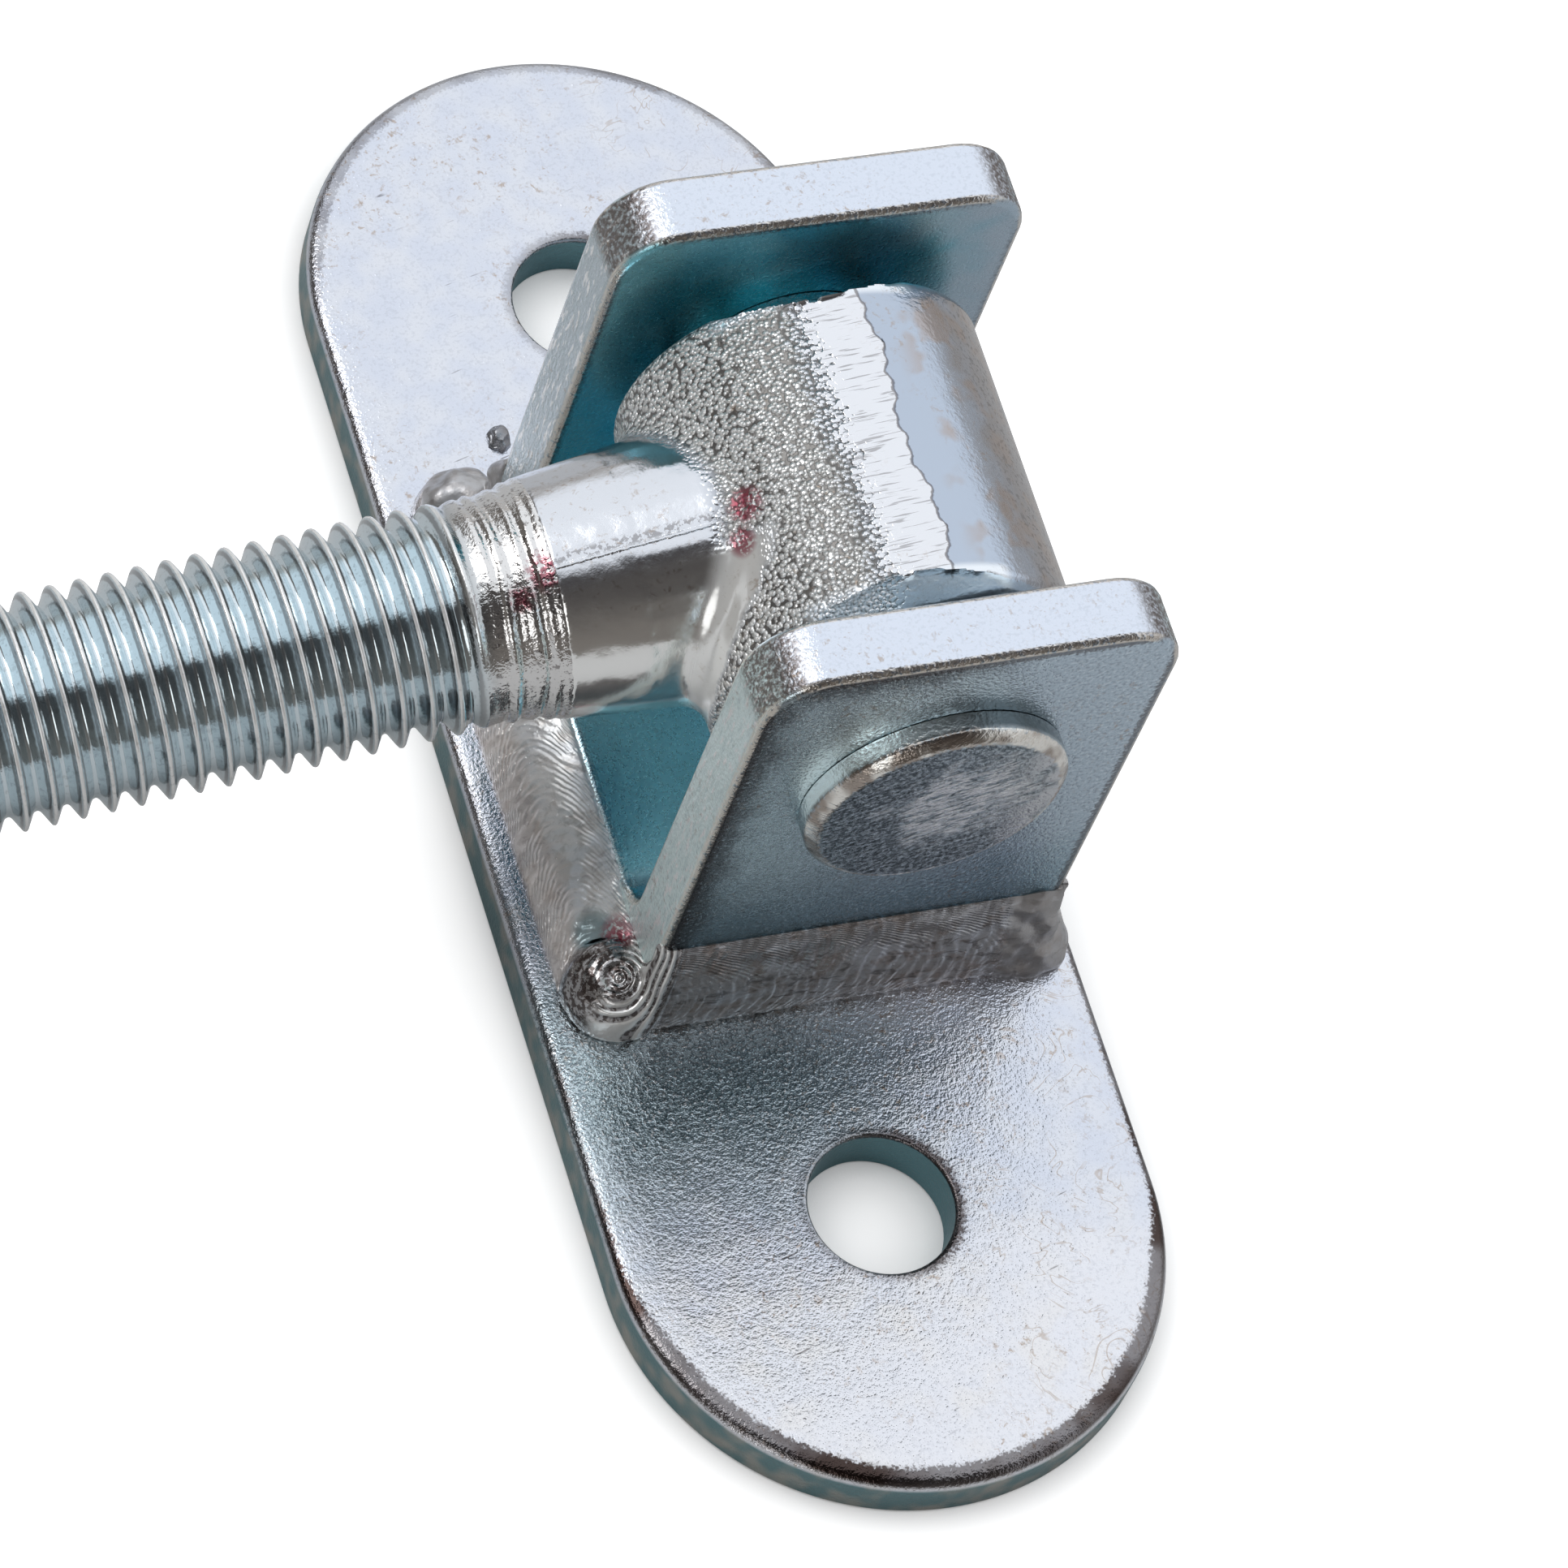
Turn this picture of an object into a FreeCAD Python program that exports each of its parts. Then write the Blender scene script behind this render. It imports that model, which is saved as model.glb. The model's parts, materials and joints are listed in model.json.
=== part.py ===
import FreeCAD, Part
import math
import os

# Adjustable gate hinge: a U bracket welded on a screw plate carries a forged eye bolt on a riveted pin.
# Millimetres, +Z up. The origin is the centre of the plate's underside, between its two screw holes.
# X runs across the plate, with the rod towards -X, and Y runs along the plate and the pin.

# Bracket: one flat strip folded to a U, web down
STRIP_WIDTH = 30.0
STRIP_THICK = 5.0
EAR_GAP = 30.0
EAR_ABOVE_PIN = 16.0
EAR_CORNER_R = 4.8
BEND_INNER_R = 3.0
STRIP_EDGE_CHAMFER = 0.4

# Base plate: flat bar with full-round ends, wider than the strip by two uneven ledges
LEDGE_LEFT = 7.0
LEDGE_RIGHT = 3.0
PLATE_THICK = 4.0
PLATE_TOP_ROUND = 0.7
HOLE_PITCH = 75.0
HOLE_TO_END = 21.5
HOLE_D = 10.5
HOLE_RIM_CHAMFER = 0.3

# Hinge pin: a rivet with a flat head in front and a peened head behind
PIN_ABOVE_PLATE = 27.6
PIN_D = 14.0
PIN_HOLE_CLEARANCE = 0.1
HEAD_D = 18.6
HEAD_THICK = 2.2
HEAD_CHAMFER = 0.7
PEENED_D = 18.0
PEENED_RIM = 0.8
PEENED_DOME = 1.2
PEENED_CROWN_D = 9.0

# Eye bolt: one forging, a barrel with a tapered neck that ends in a threaded rod
BARREL_D = 26.0
BARREL_SIDE_CLEARANCE = 2.6
BARREL_RIM_CHAMFER = 0.6
BORE_CLEARANCE = 0.05
BORE_CHAMFER = 0.8
FLASH_FLAT_WIDTH = 5.6
FLASH_END_INSET = 1.4
FLASH_END_SLOPE_DEG = 30.0
NECK_ROOT_D = 18.6
NECK_END_D = 16.6
NECK_FILLET_R = 1.8
NECK_LENGTH = 9.0
RUNOUT_LENGTH = 2.0
THREAD_D = 15.8
THREAD_LENGTH = 136.0
TIP_CHAMFER = 1.2

# Welds: two beads fill the grooves under the folds, two run along the web, with lumps at the corners
BEAD_TOE = 1.5
BEAD_ABOVE_BEND = 1.3
BEAD_ROOT = 4.5
BEAD_BULGE = 0.5
SIDE_BEAD_LEG = 4.9
SIDE_BEAD_DROP = 0.15
BITE = 0.25
LUMP_HEIGHT = 1.2
LUMP_STEPS_DEG = (0, 25, 50, 75)

# Corner lumps: radius, then offset outwards across and along the plate from the bracket's corner
FRONT_LEFT_LUMP = (3.6, 1.3, -1.5)
FRONT_RIGHT_LUMP = (2.6, -0.6, -0.4)
REAR_LEFT_LUMP = (3.0, 1.5, 0.8)
REAR_RIGHT_LUMP = (2.8, -0.4, 0.2)

# Sizes and places that follow from the values above
PLATE_WIDTH = STRIP_WIDTH + LEDGE_LEFT + LEDGE_RIGHT
PLATE_LENGTH = HOLE_PITCH + 2 * HOLE_TO_END
STRIP_X = (LEDGE_LEFT - LEDGE_RIGHT) / 2
STRIP_LEFT = STRIP_X - STRIP_WIDTH / 2
STRIP_RIGHT = STRIP_X + STRIP_WIDTH / 2
BEND_OUTER_R = BEND_INNER_R + STRIP_THICK
EAR_INNER = EAR_GAP / 2
EAR_OUTER = EAR_INNER + STRIP_THICK
PIN_Z = PLATE_THICK + PIN_ABOVE_PLATE
EAR_TOP = PIN_Z + EAR_ABOVE_PIN
BARREL_R = BARREL_D / 2
BARREL_HALF = EAR_INNER - BARREL_SIDE_CLEARANCE
THREAD_R = THREAD_D / 2
NECK_END = BARREL_R + NECK_LENGTH
THREAD_START = NECK_END + RUNOUT_LENGTH
ROD_REACH = THREAD_START + THREAD_LENGTH
RIGHT_BEAD_LEG = min(SIDE_BEAD_LEG, LEDGE_RIGHT - PLATE_TOP_ROUND)

X_AXIS = FreeCAD.Vector(1, 0, 0)
Y_AXIS = FreeCAD.Vector(0, 1, 0)
Z_AXIS = FreeCAD.Vector(0, 0, 1)


def on_yz(y, z, x=0.0):
    return FreeCAD.Vector(x, y, z)


def on_xz(x, z, y=0.0):
    return FreeCAD.Vector(x, y, z)


def line(start, end):
    return Part.LineSegment(start, end).toShape()


def arc_about(centre, radius, start_deg, end_deg, place):
    """Arc in the plane that place(u, v) spans, through its middle angle."""
    points = []
    for angle in (start_deg, (start_deg + end_deg) / 2, end_deg):
        turn = math.radians(angle)
        points.append(place(centre[0] + radius * math.cos(turn), centre[1] + radius * math.sin(turn)))
    return Part.Arc(*points).toShape()


def bulged(start, end, outwards, rise):
    """Arc from start to end that stands out from the chord by rise."""
    middle = (start + end) / 2 + outwards * rise
    return Part.Arc(start, middle, end).toShape()


def closed_face(edges):
    return Part.Face(Part.Wire(edges))


def turned(points, centre, axis):
    """Solid of revolution of a closed outline of points."""
    outline = Part.makePolygon(points + points[:1])
    return Part.Face(outline).revolve(centre, axis, 360)


def edges_where(shape, test):
    """Edges whose bounding box passes the test."""
    return [edge for edge in shape.Edges if test(edge.BoundBox)]


def near(a, b):
    return abs(a - b) < 1e-4


def base_plate():
    """Flat bar with semicircular ends, two screw holes and a rolled upper edge."""
    end_r = PLATE_WIDTH / 2
    straight = PLATE_LENGTH / 2 - end_r
    corners = [FreeCAD.Vector(x, y, 0) for x, y in
               ((end_r, -straight), (end_r, straight), (-end_r, straight), (-end_r, -straight))]
    tips = [FreeCAD.Vector(0, y, 0) for y in (PLATE_LENGTH / 2, -PLATE_LENGTH / 2)]
    outline = closed_face([
        line(corners[0], corners[1]),
        Part.Arc(corners[1], tips[0], corners[2]).toShape(),
        line(corners[2], corners[3]),
        Part.Arc(corners[3], tips[1], corners[0]).toShape(),
    ])
    plate = outline.extrude(Z_AXIS * PLATE_THICK)
    upper_edges = edges_where(plate, lambda box: near(box.ZMin, PLATE_THICK))
    plate = plate.makeFillet(PLATE_TOP_ROUND, upper_edges)
    for side in (-1, 1):
        centre = FreeCAD.Vector(0, side * HOLE_PITCH / 2, 0)
        plate = plate.cut(Part.makeCylinder(HOLE_D / 2, PLATE_THICK, centre, Z_AXIS))
    rims = edges_where(plate, lambda box: near(box.ZMin, PLATE_THICK) and near(box.XLength, HOLE_D))
    return plate.makeChamfer(HOLE_RIM_CHAMFER, rims)


def bracket_section():
    """Outline of the folded strip across the pin's ears, with both faces of each bend round."""
    base = PLATE_THICK
    web = base + STRIP_THICK
    centre_y = EAR_OUTER - BEND_OUTER_R
    centre_z = base + BEND_OUTER_R
    start = STRIP_LEFT

    def place(y, z):
        return on_yz(y, z, start)

    return closed_face([
        line(place(-EAR_OUTER, EAR_TOP), place(-EAR_OUTER, centre_z)),
        arc_about((-centre_y, centre_z), BEND_OUTER_R, 180, 270, place),
        line(place(-centre_y, base), place(centre_y, base)),
        arc_about((centre_y, centre_z), BEND_OUTER_R, 270, 360, place),
        line(place(EAR_OUTER, centre_z), place(EAR_OUTER, EAR_TOP)),
        line(place(EAR_OUTER, EAR_TOP), place(EAR_INNER, EAR_TOP)),
        line(place(EAR_INNER, EAR_TOP), place(EAR_INNER, centre_z)),
        arc_about((centre_y, centre_z), BEND_INNER_R, 360, 270, place),
        line(place(centre_y, web), place(-centre_y, web)),
        arc_about((-centre_y, centre_z), BEND_INNER_R, 270, 180, place),
        line(place(-EAR_INNER, centre_z), place(-EAR_INNER, EAR_TOP)),
        line(place(-EAR_INNER, EAR_TOP), place(-EAR_OUTER, EAR_TOP)),
    ])


def is_strip_edge(box):
    """True for the strip's long sides, along the bends too, and for the outline of the ears' tops."""
    on_side = near(box.XLength, 0) and (near(box.XMin, STRIP_LEFT) or near(box.XMin, STRIP_RIGHT))
    smooth_seam = near(box.ZLength, 0) and box.ZMin > PLATE_THICK + STRIP_THICK + BEND_INNER_R
    on_ear_face = near(box.YLength, 0) and box.ZMax > EAR_TOP - EAR_CORNER_R / 2
    return (on_side and not smooth_seam) or on_ear_face


def u_bracket():
    """Folded strip with rounded ear corners, soft edges and the pin's holes."""
    bracket = bracket_section().extrude(X_AXIS * STRIP_WIDTH)
    corners = edges_where(bracket, lambda box: near(box.ZMin, EAR_TOP) and near(box.XLength, 0))
    bracket = bracket.makeFillet(EAR_CORNER_R, corners)
    bracket = bracket.makeChamfer(STRIP_EDGE_CHAMFER, edges_where(bracket, is_strip_edge))
    hole_start = FreeCAD.Vector(STRIP_X, -EAR_OUTER, PIN_Z)
    hole_r = PIN_D / 2 + PIN_HOLE_CLEARANCE
    return bracket.cut(Part.makeCylinder(hole_r, 2 * EAR_OUTER, hole_start, Y_AXIS))


def hinge_pin():
    """Rivet: chamfered flat head, plain shank through both ears, low crowned head peened behind."""
    head_front = -EAR_OUTER - HEAD_THICK
    rim = EAR_OUTER + PEENED_RIM
    profile = [
        (0, head_front),
        (HEAD_D / 2 - HEAD_CHAMFER, head_front),
        (HEAD_D / 2, head_front + HEAD_CHAMFER),
        (HEAD_D / 2, -EAR_OUTER),
        (PIN_D / 2, -EAR_OUTER),
        (PIN_D / 2, EAR_OUTER),
        (PEENED_D / 2, EAR_OUTER),
        (PEENED_D / 2, rim),
        (PEENED_CROWN_D / 2, rim + PEENED_DOME),
        (0, rim + PEENED_DOME),
    ]
    points = [FreeCAD.Vector(STRIP_X + radius, y, PIN_Z) for radius, y in profile]
    return turned(points, FreeCAD.Vector(STRIP_X, 0, PIN_Z), Y_AXIS)


def flash_trim(flat_height, side):
    """Cutter for one trimmed parting flat of the barrel and the two slopes at its ends."""
    slope = math.tan(math.radians(FLASH_END_SLOPE_DEG))
    past_end = BARREL_R
    flat_end = BARREL_HALF - FLASH_END_INSET
    fall = past_end / slope
    points = [
        (-flat_end - past_end, flat_height - fall),
        (-flat_end, flat_height),
        (flat_end, flat_height),
        (flat_end + past_end, flat_height - fall),
        (flat_end + past_end, 2 * BARREL_R),
        (-flat_end - past_end, 2 * BARREL_R),
    ]
    outline = [on_yz(y, side * z, -BARREL_R) for y, z in points]
    return Part.Face(Part.makePolygon(outline + outline[:1])).extrude(X_AXIS * BARREL_D)


def barrel():
    """Plain cylinder along Y, about the pin's axis."""
    return Part.makeCylinder(BARREL_R, 2 * BARREL_HALF, on_yz(-BARREL_HALF, 0), Y_AXIS)


def rim_chamfer(side):
    """Cutter ring for the chamfer round one end of the barrel."""
    profile = [
        (BARREL_R - BARREL_RIM_CHAMFER, BARREL_HALF),
        (BARREL_R + BARREL_RIM_CHAMFER, BARREL_HALF),
        (BARREL_R + BARREL_RIM_CHAMFER, BARREL_HALF - 2 * BARREL_RIM_CHAMFER),
    ]
    return turned([FreeCAD.Vector(r, side * y, 0) for r, y in profile], on_xz(0, 0), Y_AXIS)


def neck_and_rod():
    """Tapered neck, thread run-out and rod at the thread's outer diameter, along -X from the pin's axis."""
    taper = (NECK_ROOT_D - NECK_END_D) / 2 / NECK_LENGTH
    profile = [
        (0, 0),
        (0, NECK_ROOT_D / 2 + taper * BARREL_R),
        (NECK_END, NECK_END_D / 2),
        (THREAD_START, THREAD_R),
        (ROD_REACH - TIP_CHAMFER, THREAD_R),
        (ROD_REACH, THREAD_R - TIP_CHAMFER),
        (ROD_REACH, 0),
    ]
    return turned([on_xz(-along, radius) for along, radius in profile], on_xz(0, 0), X_AXIS)


def pin_bore():
    """Cutter for the barrel's running bore, with a chamfer at each mouth."""
    bore_r = PIN_D / 2 + BORE_CLEARANCE
    mouth_r = bore_r + BORE_CHAMFER
    half = [(bore_r, BARREL_HALF - BORE_CHAMFER), (mouth_r, BARREL_HALF)]
    profile = [(0, -BARREL_HALF)] + [(r, -y) for r, y in reversed(half)] + half + [(0, BARREL_HALF)]
    return turned([FreeCAD.Vector(r, y, 0) for r, y in profile], on_xz(0, 0), Y_AXIS)


def rod_droop_deg():
    """Angle below level at which the rod's tip and the plate lie on one flat surface."""
    rim_along = ROD_REACH - TIP_CHAMFER
    return math.degrees(math.asin(PIN_Z / math.hypot(rim_along, THREAD_R)) - math.atan2(THREAD_R, rim_along))


def is_neck_saddle(box):
    """True for the curve where the neck leaves the barrel."""
    return box.XMax < 0 and box.YLength > NECK_END_D and not near(box.XLength, 0)


def eye_bolt():
    """Forged barrel and neck joined by a fillet, trimmed, bored for the pin and laid down on its tip."""
    bolt = barrel().fuse(neck_and_rod())
    rim_room = BARREL_HALF - BARREL_RIM_CHAMFER - NECK_ROOT_D / 2
    bolt = bolt.makeFillet(min(NECK_FILLET_R, 0.9 * rim_room), edges_where(bolt, is_neck_saddle))
    flat_height = math.sqrt(BARREL_R ** 2 - (FLASH_FLAT_WIDTH / 2) ** 2)
    cutters = [pin_bore()]
    for side in (-1, 1):
        cutters += [flash_trim(flat_height, side), rim_chamfer(side)]
    bolt = bolt.cut(cutters)
    bolt.rotate(FreeCAD.Vector(0, 0, 0), Y_AXIS, -rod_droop_deg())
    bolt.translate(FreeCAD.Vector(STRIP_X, 0, PIN_Z))
    return bolt


def corner_lump(lump, side_x, side_y):
    """Weld lump over one corner of the bracket's foot: a dome in a few steps."""
    radius, out_x, out_y = lump
    across = STRIP_X + side_x * (STRIP_WIDTH / 2 + out_x)
    along = side_y * (EAR_OUTER + out_y)
    steps = [math.radians(step) for step in LUMP_STEPS_DEG]
    profile = [(0, 0), (radius, 0)]
    profile += [(radius * math.cos(step), LUMP_HEIGHT + radius * math.sin(step)) for step in steps]
    profile.append((0, LUMP_HEIGHT + radius * math.sin(steps[-1])))
    points = [FreeCAD.Vector(across + r, along, PLATE_THICK + z) for r, z in profile]
    return turned(points, points[0], Z_AXIS)


def end_bead(side_y, left_lump, right_lump):
    """Bead in the groove under one fold, from corner to corner."""
    top = PLATE_THICK + BEND_OUTER_R + BEAD_ABOVE_BEND

    def place(out, z):
        return on_yz(side_y * (EAR_OUTER + out), z, STRIP_LEFT)

    toe = place(BEAD_TOE, PLATE_THICK)
    root = place(-BEAD_ROOT, PLATE_THICK)
    root_top = place(-BEAD_ROOT, PLATE_THICK + BEND_OUTER_R / 2)
    ear_bite = place(-BITE, top)
    section = closed_face([
        line(toe, root),
        line(root, root_top),
        line(root_top, ear_bite),
        bulged(ear_bite, toe, Y_AXIS * side_y, BEAD_BULGE),
    ])
    bead = section.extrude(X_AXIS * STRIP_WIDTH)
    bead = bead.fuse([corner_lump(left_lump, -1, side_y), corner_lump(right_lump, 1, side_y)])
    return bead.removeSplitter()


def side_bead(side_x, leg):
    """Bead along one side of the web, between the corner lumps."""
    edge = STRIP_X + side_x * STRIP_WIDTH / 2
    top = PLATE_THICK + STRIP_THICK - SIDE_BEAD_DROP

    def place(out, z):
        return on_xz(edge + side_x * out, z, -EAR_OUTER)

    toe = place(leg, PLATE_THICK)
    outwards = FreeCAD.Vector(side_x, 0, 1).normalize()
    section = closed_face([
        line(toe, place(-BITE, PLATE_THICK)),
        line(place(-BITE, PLATE_THICK), place(-BITE, top)),
        bulged(place(-BITE, top), toe, outwards, BEAD_BULGE),
    ])
    return section.extrude(Y_AXIS * 2 * EAR_OUTER)


def above_plate(shape, bracket):
    """The shape above the plate's top and outside the bracket, without loose chips."""
    reach = PLATE_LENGTH
    below = Part.makeBox(reach, reach, PLATE_THICK, FreeCAD.Vector(-reach / 2, -reach / 2, 0))
    kept = shape.cut([below, bracket])
    return max(kept.Solids, key=lambda solid: solid.Volume)


def welds(bracket):
    """Four beads that meet the plate, the bracket and each other face to face."""
    front = above_plate(end_bead(-1, FRONT_LEFT_LUMP, FRONT_RIGHT_LUMP), bracket)
    rear = above_plate(end_bead(1, REAR_LEFT_LUMP, REAR_RIGHT_LUMP), bracket)
    left = above_plate(side_bead(-1, SIDE_BEAD_LEG).cut([front, rear]), bracket)
    right = above_plate(side_bead(1, RIGHT_BEAD_LEG).cut([front, rear]), bracket)
    return {"weld_front": front, "weld_rear": rear, "weld_left": left, "weld_right": right}


def main():
    bracket = u_bracket()
    nodes = {
        "base_plate": base_plate(),
        "u_bracket": bracket,
        "hinge_pin": hinge_pin(),
        "eye_bolt": eye_bolt(),
    }
    nodes.update(welds(bracket))
    os.makedirs("parts", exist_ok=True)
    for name, shape in nodes.items():
        shape.exportStep(f"parts/{name}.step")
        box = shape.BoundBox
        print(name, shape.isValid(), len(shape.Solids), round(shape.Volume, 1),
              [round(v, 2) for v in (box.XMin, box.YMin, box.ZMin, box.XMax, box.YMax, box.ZMax)])


main()
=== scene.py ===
"""Adjustable gate hinge: zinc-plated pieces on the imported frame, lit on a white table."""
import json
import math
from collections import namedtuple

import bmesh
import bpy
from mathutils import Matrix, Vector, noise

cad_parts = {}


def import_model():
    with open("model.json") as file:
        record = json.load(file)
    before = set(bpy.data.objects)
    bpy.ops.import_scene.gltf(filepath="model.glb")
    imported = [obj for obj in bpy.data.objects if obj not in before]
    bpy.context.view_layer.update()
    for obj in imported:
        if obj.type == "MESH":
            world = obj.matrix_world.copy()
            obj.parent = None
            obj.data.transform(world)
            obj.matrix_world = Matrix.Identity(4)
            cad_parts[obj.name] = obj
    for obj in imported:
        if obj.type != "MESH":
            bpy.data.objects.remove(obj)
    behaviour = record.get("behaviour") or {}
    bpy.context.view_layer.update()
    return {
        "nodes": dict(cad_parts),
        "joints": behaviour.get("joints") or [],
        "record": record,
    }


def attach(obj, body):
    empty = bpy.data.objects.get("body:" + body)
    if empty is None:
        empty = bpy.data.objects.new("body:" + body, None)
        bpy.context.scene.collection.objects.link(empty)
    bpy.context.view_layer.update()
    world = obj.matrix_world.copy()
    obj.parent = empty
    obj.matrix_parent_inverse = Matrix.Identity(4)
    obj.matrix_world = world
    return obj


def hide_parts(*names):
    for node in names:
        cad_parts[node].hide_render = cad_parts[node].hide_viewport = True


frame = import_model()

MM = 0.001
MOUNTS = {mount["name"]: mount for mount in frame["record"]["mounts"]}

# Pin and rod axes, in millimetres
PIN = Vector(frame["joints"][0]["pos_m"]) / MM
ROD = Vector(MOUNTS["threaded_rod"]["axis"])
ROD_UP = Vector((ROD.z, 0.0, -ROD.x))
ROD_SIDE = ROD_UP.cross(ROD)

# Plate
PLATE_HALF_W = 20.0
PLATE_END_Y = 39.0
PLATE_THICK = 4.0
EDGE_ROLL = 3.2
EDGE_DROP = 0.26
EDGE_CORNER_R = 0.85
EDGE_STEPS = 10
FOOT_ROUND = 0.3
FOOT_BEND = 0.3
HOLE_Y = 37.5
HOLE_R = 5.25
HOLE_RIM = 0.35
ROUND_STEPS = 72
SIDE_CUTS = 40
DRILL_DEPTH = 200.0

# Bracket
STRIP_LOW_X = -13.0
STRIP_HIGH_X = 17.0
STRIP_MIDDLE_X = (STRIP_LOW_X + STRIP_HIGH_X) / 2
STRIP_THICK = 5.0
STRIP_EDGE_ROUND = 0.65
EAR_INNER = 15.0
EAR_OUTER = 20.0
EAR_TOP = 47.6
EAR_CORNER_R = 4.8
BEND_INNER_R = 3.0
PIN_HOLE_R = 7.1
BEND_OUTER_STEPS = 14
BEND_INNER_STEPS = 8
EAR_CORNER_STEPS = 10
STRIP_EDGE_STEPS = 3

# Pin
HEAD_R = 9.3
HEAD_Y = 22.2
HEAD_CHAMFER = 0.7
HEAD_RINGS = 24
SHANK_R = 7.0
TAIL_R = 9.0
TAIL_RIM_Y = 20.8
TAIL_Y = 22.0
TAIL_CROWN_R = 4.5
TAIL_CROWN_DROP = 0.15
PIN_STEPS = 112
PIN_EDGE_ROUND = 0.18
PIN_EDGE_STEPS = 2

# Eye: its drum, the flats trimmed off the drum, and its neck
BARREL_R = 13.0
BARREL_HALF = 12.4
BORE_R = 7.05
EYE_VOXEL = 0.26
EYE_MELTS = 2
BORE_CATCH = 0.3
DRUM_SKIN = 0.6
DRUM_EDGE = 0.8
FLAT_HEIGHT = 12.695
FLAT_EDGE = 1.6
FLAT_REACH = 4.5
FLAT_STEP = 0.12
FLAT_LOW_HALF = 2.8
FLAT_TOP_START = 2.7
PEBBLE_HEIGHT = 0.035
PEBBLE_FROM = 2.0
PEBBLE_FADE = 1.5
PEBBLE_CATCH = 0.4
NECK_END = 22.0
NECK_R = 8.3
NECK_ROOT_R = 9.3
NECK_ROOT_S = 13.0
NECK_FILLET = 2.2
NECK_CLEAR = 3.0
NECK_WAVE = 0.02
NECK_CORE_R = 6.0
NECK_TUCK = 23.2
TUCK_DEPTH = 0.5
TUCK_LAG = 0.1
TUCK_FADE = 0.3

# Torn edge of the upper flat: its place along the rod, and waves as height, turn per millimetre and phase
LIP_S = -3.15
LIP_WAVES = ((0.3, 0.48, 0.24 + math.pi / 2), (0.16, 1.7, 0.0), (0.09, 4.3, 1.0))

# Thread
CREST_R = 7.9
ROOT_R = 6.7
PITCH = 2.0
THREAD_FROM = 21.6
ROD_END = 160.0
TIP_CHAMFER = 1.2
TIP_SLACK = 0.001
THREAD_STEPS = 56
SPUN_TURNS = 9
DOUBLINGS = 3
RUNOUT_START = 25.0
RUNOUT_END = 31.0
COLLAR_LIFT = 0.06
COLLAR_FADE = 2.5
ROD_WEAR = 0.015
# Half a ridge as distance along the rod and radius
HALF_RIDGE = (
    (0.0, CREST_R), (0.05, CREST_R - 0.006), (0.10, CREST_R - 0.03), (0.145, CREST_R - 0.08),
    (0.31, CREST_R - 0.36), (0.49, CREST_R - 0.67),
    (0.68, ROOT_R + 0.2), (0.82, ROOT_R + 0.05), (PITCH / 2, ROOT_R),
)
# Turned rings between the neck and the thread
RINGS_FROM = 21.8
RINGS_RISE = 0.5
RINGS_END = 28.5
RINGS_FALL = 2.5
RINGS_DEPTH = 0.075
RINGS_SINK = 1.9
COARSE_RING = 1.3
FINE_RING = 0.83

# Welds: lumps at the corners of the bracket, hollows beside the front left lump, and a bead of spatter
Lump = namedtuple("Lump", "x y radius rings")
Hollow = namedtuple("Hollow", "x y radius depth")
FRONT_LEFT = Lump(-15.0, -19.4, 3.7, 1.0)
FRONT_RIGHT = Lump(15.9, -20.6, 2.9, 0.0)
REAR_LEFT = Lump(-14.5, 20.8, 3.0, 0.0)
REAR_RIGHT = Lump(16.6, 20.2, 2.8, 0.0)
LUMPS = (FRONT_LEFT, FRONT_RIGHT, REAR_LEFT, REAR_RIGHT)
HOLLOWS = (Hollow(-15.1, -14.9, 1.7, 0.45), Hollow(-15.2, -19.2, 1.3, 0.35))
HOLLOW_TOP = 7.0
SPATTER_PLACE = (-9.6, 26.9)
SPATTER_R = 0.8
SPATTER_LIFT = 0.2 * SPATTER_R
SPATTER_STRETCH = (1.0, 1.3, 0.8)
SPATTER_ROUGH = 0.34
SPATTER_SEED = 4
WELD_VOXEL = 0.2
WELD_MELTS = 14
WELD_SWELL = 0.24
WELD_SINK = 0.3
SIDE_BEAD_MIDDLE = 16.5
END_BEAD_MIDDLE = 19.5
BEAD_BOW = 0.25
BEAD_WAVE = 0.06
RIPPLE_PITCH = 0.95
RIPPLE_HEIGHT = 0.03
RING_HEIGHT = 0.05
LUMP_FADE = 1.2
LUMP_WAVE = 0.5
LUMP_GRAIN = 0.06

# Camera, fitted to the photograph
SENSOR_MM = 36.0
LENS_MM = 187.59
CAMERA_AT = Vector((-188.886535, -254.738314, 488.269968))
CAMERA_RIGHT = Vector((0.932546782, -0.284713870, 0.222023674))
CAMERA_UP = Vector((0.142292594, 0.854989726, 0.498743808))


class Value:
    """A shader socket that takes part in arithmetic: each operation adds a Math node."""

    def __init__(self, nodes, socket):
        self.nodes = nodes
        self.socket = socket

    def __add__(self, other):
        return self.nodes.maths("ADD", self, other)

    def __radd__(self, other):
        return self.nodes.maths("ADD", other, self)

    def __sub__(self, other):
        return self.nodes.maths("SUBTRACT", self, other)

    def __rsub__(self, other):
        return self.nodes.maths("SUBTRACT", other, self)

    def __mul__(self, other):
        return self.nodes.maths("MULTIPLY", self, other)

    def __rmul__(self, other):
        return self.nodes.maths("MULTIPLY", other, self)

    def __pow__(self, other):
        return self.nodes.maths("POWER", self, other)

    def __abs__(self):
        return self.nodes.maths("ABSOLUTE", self, 0.0)


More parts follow.
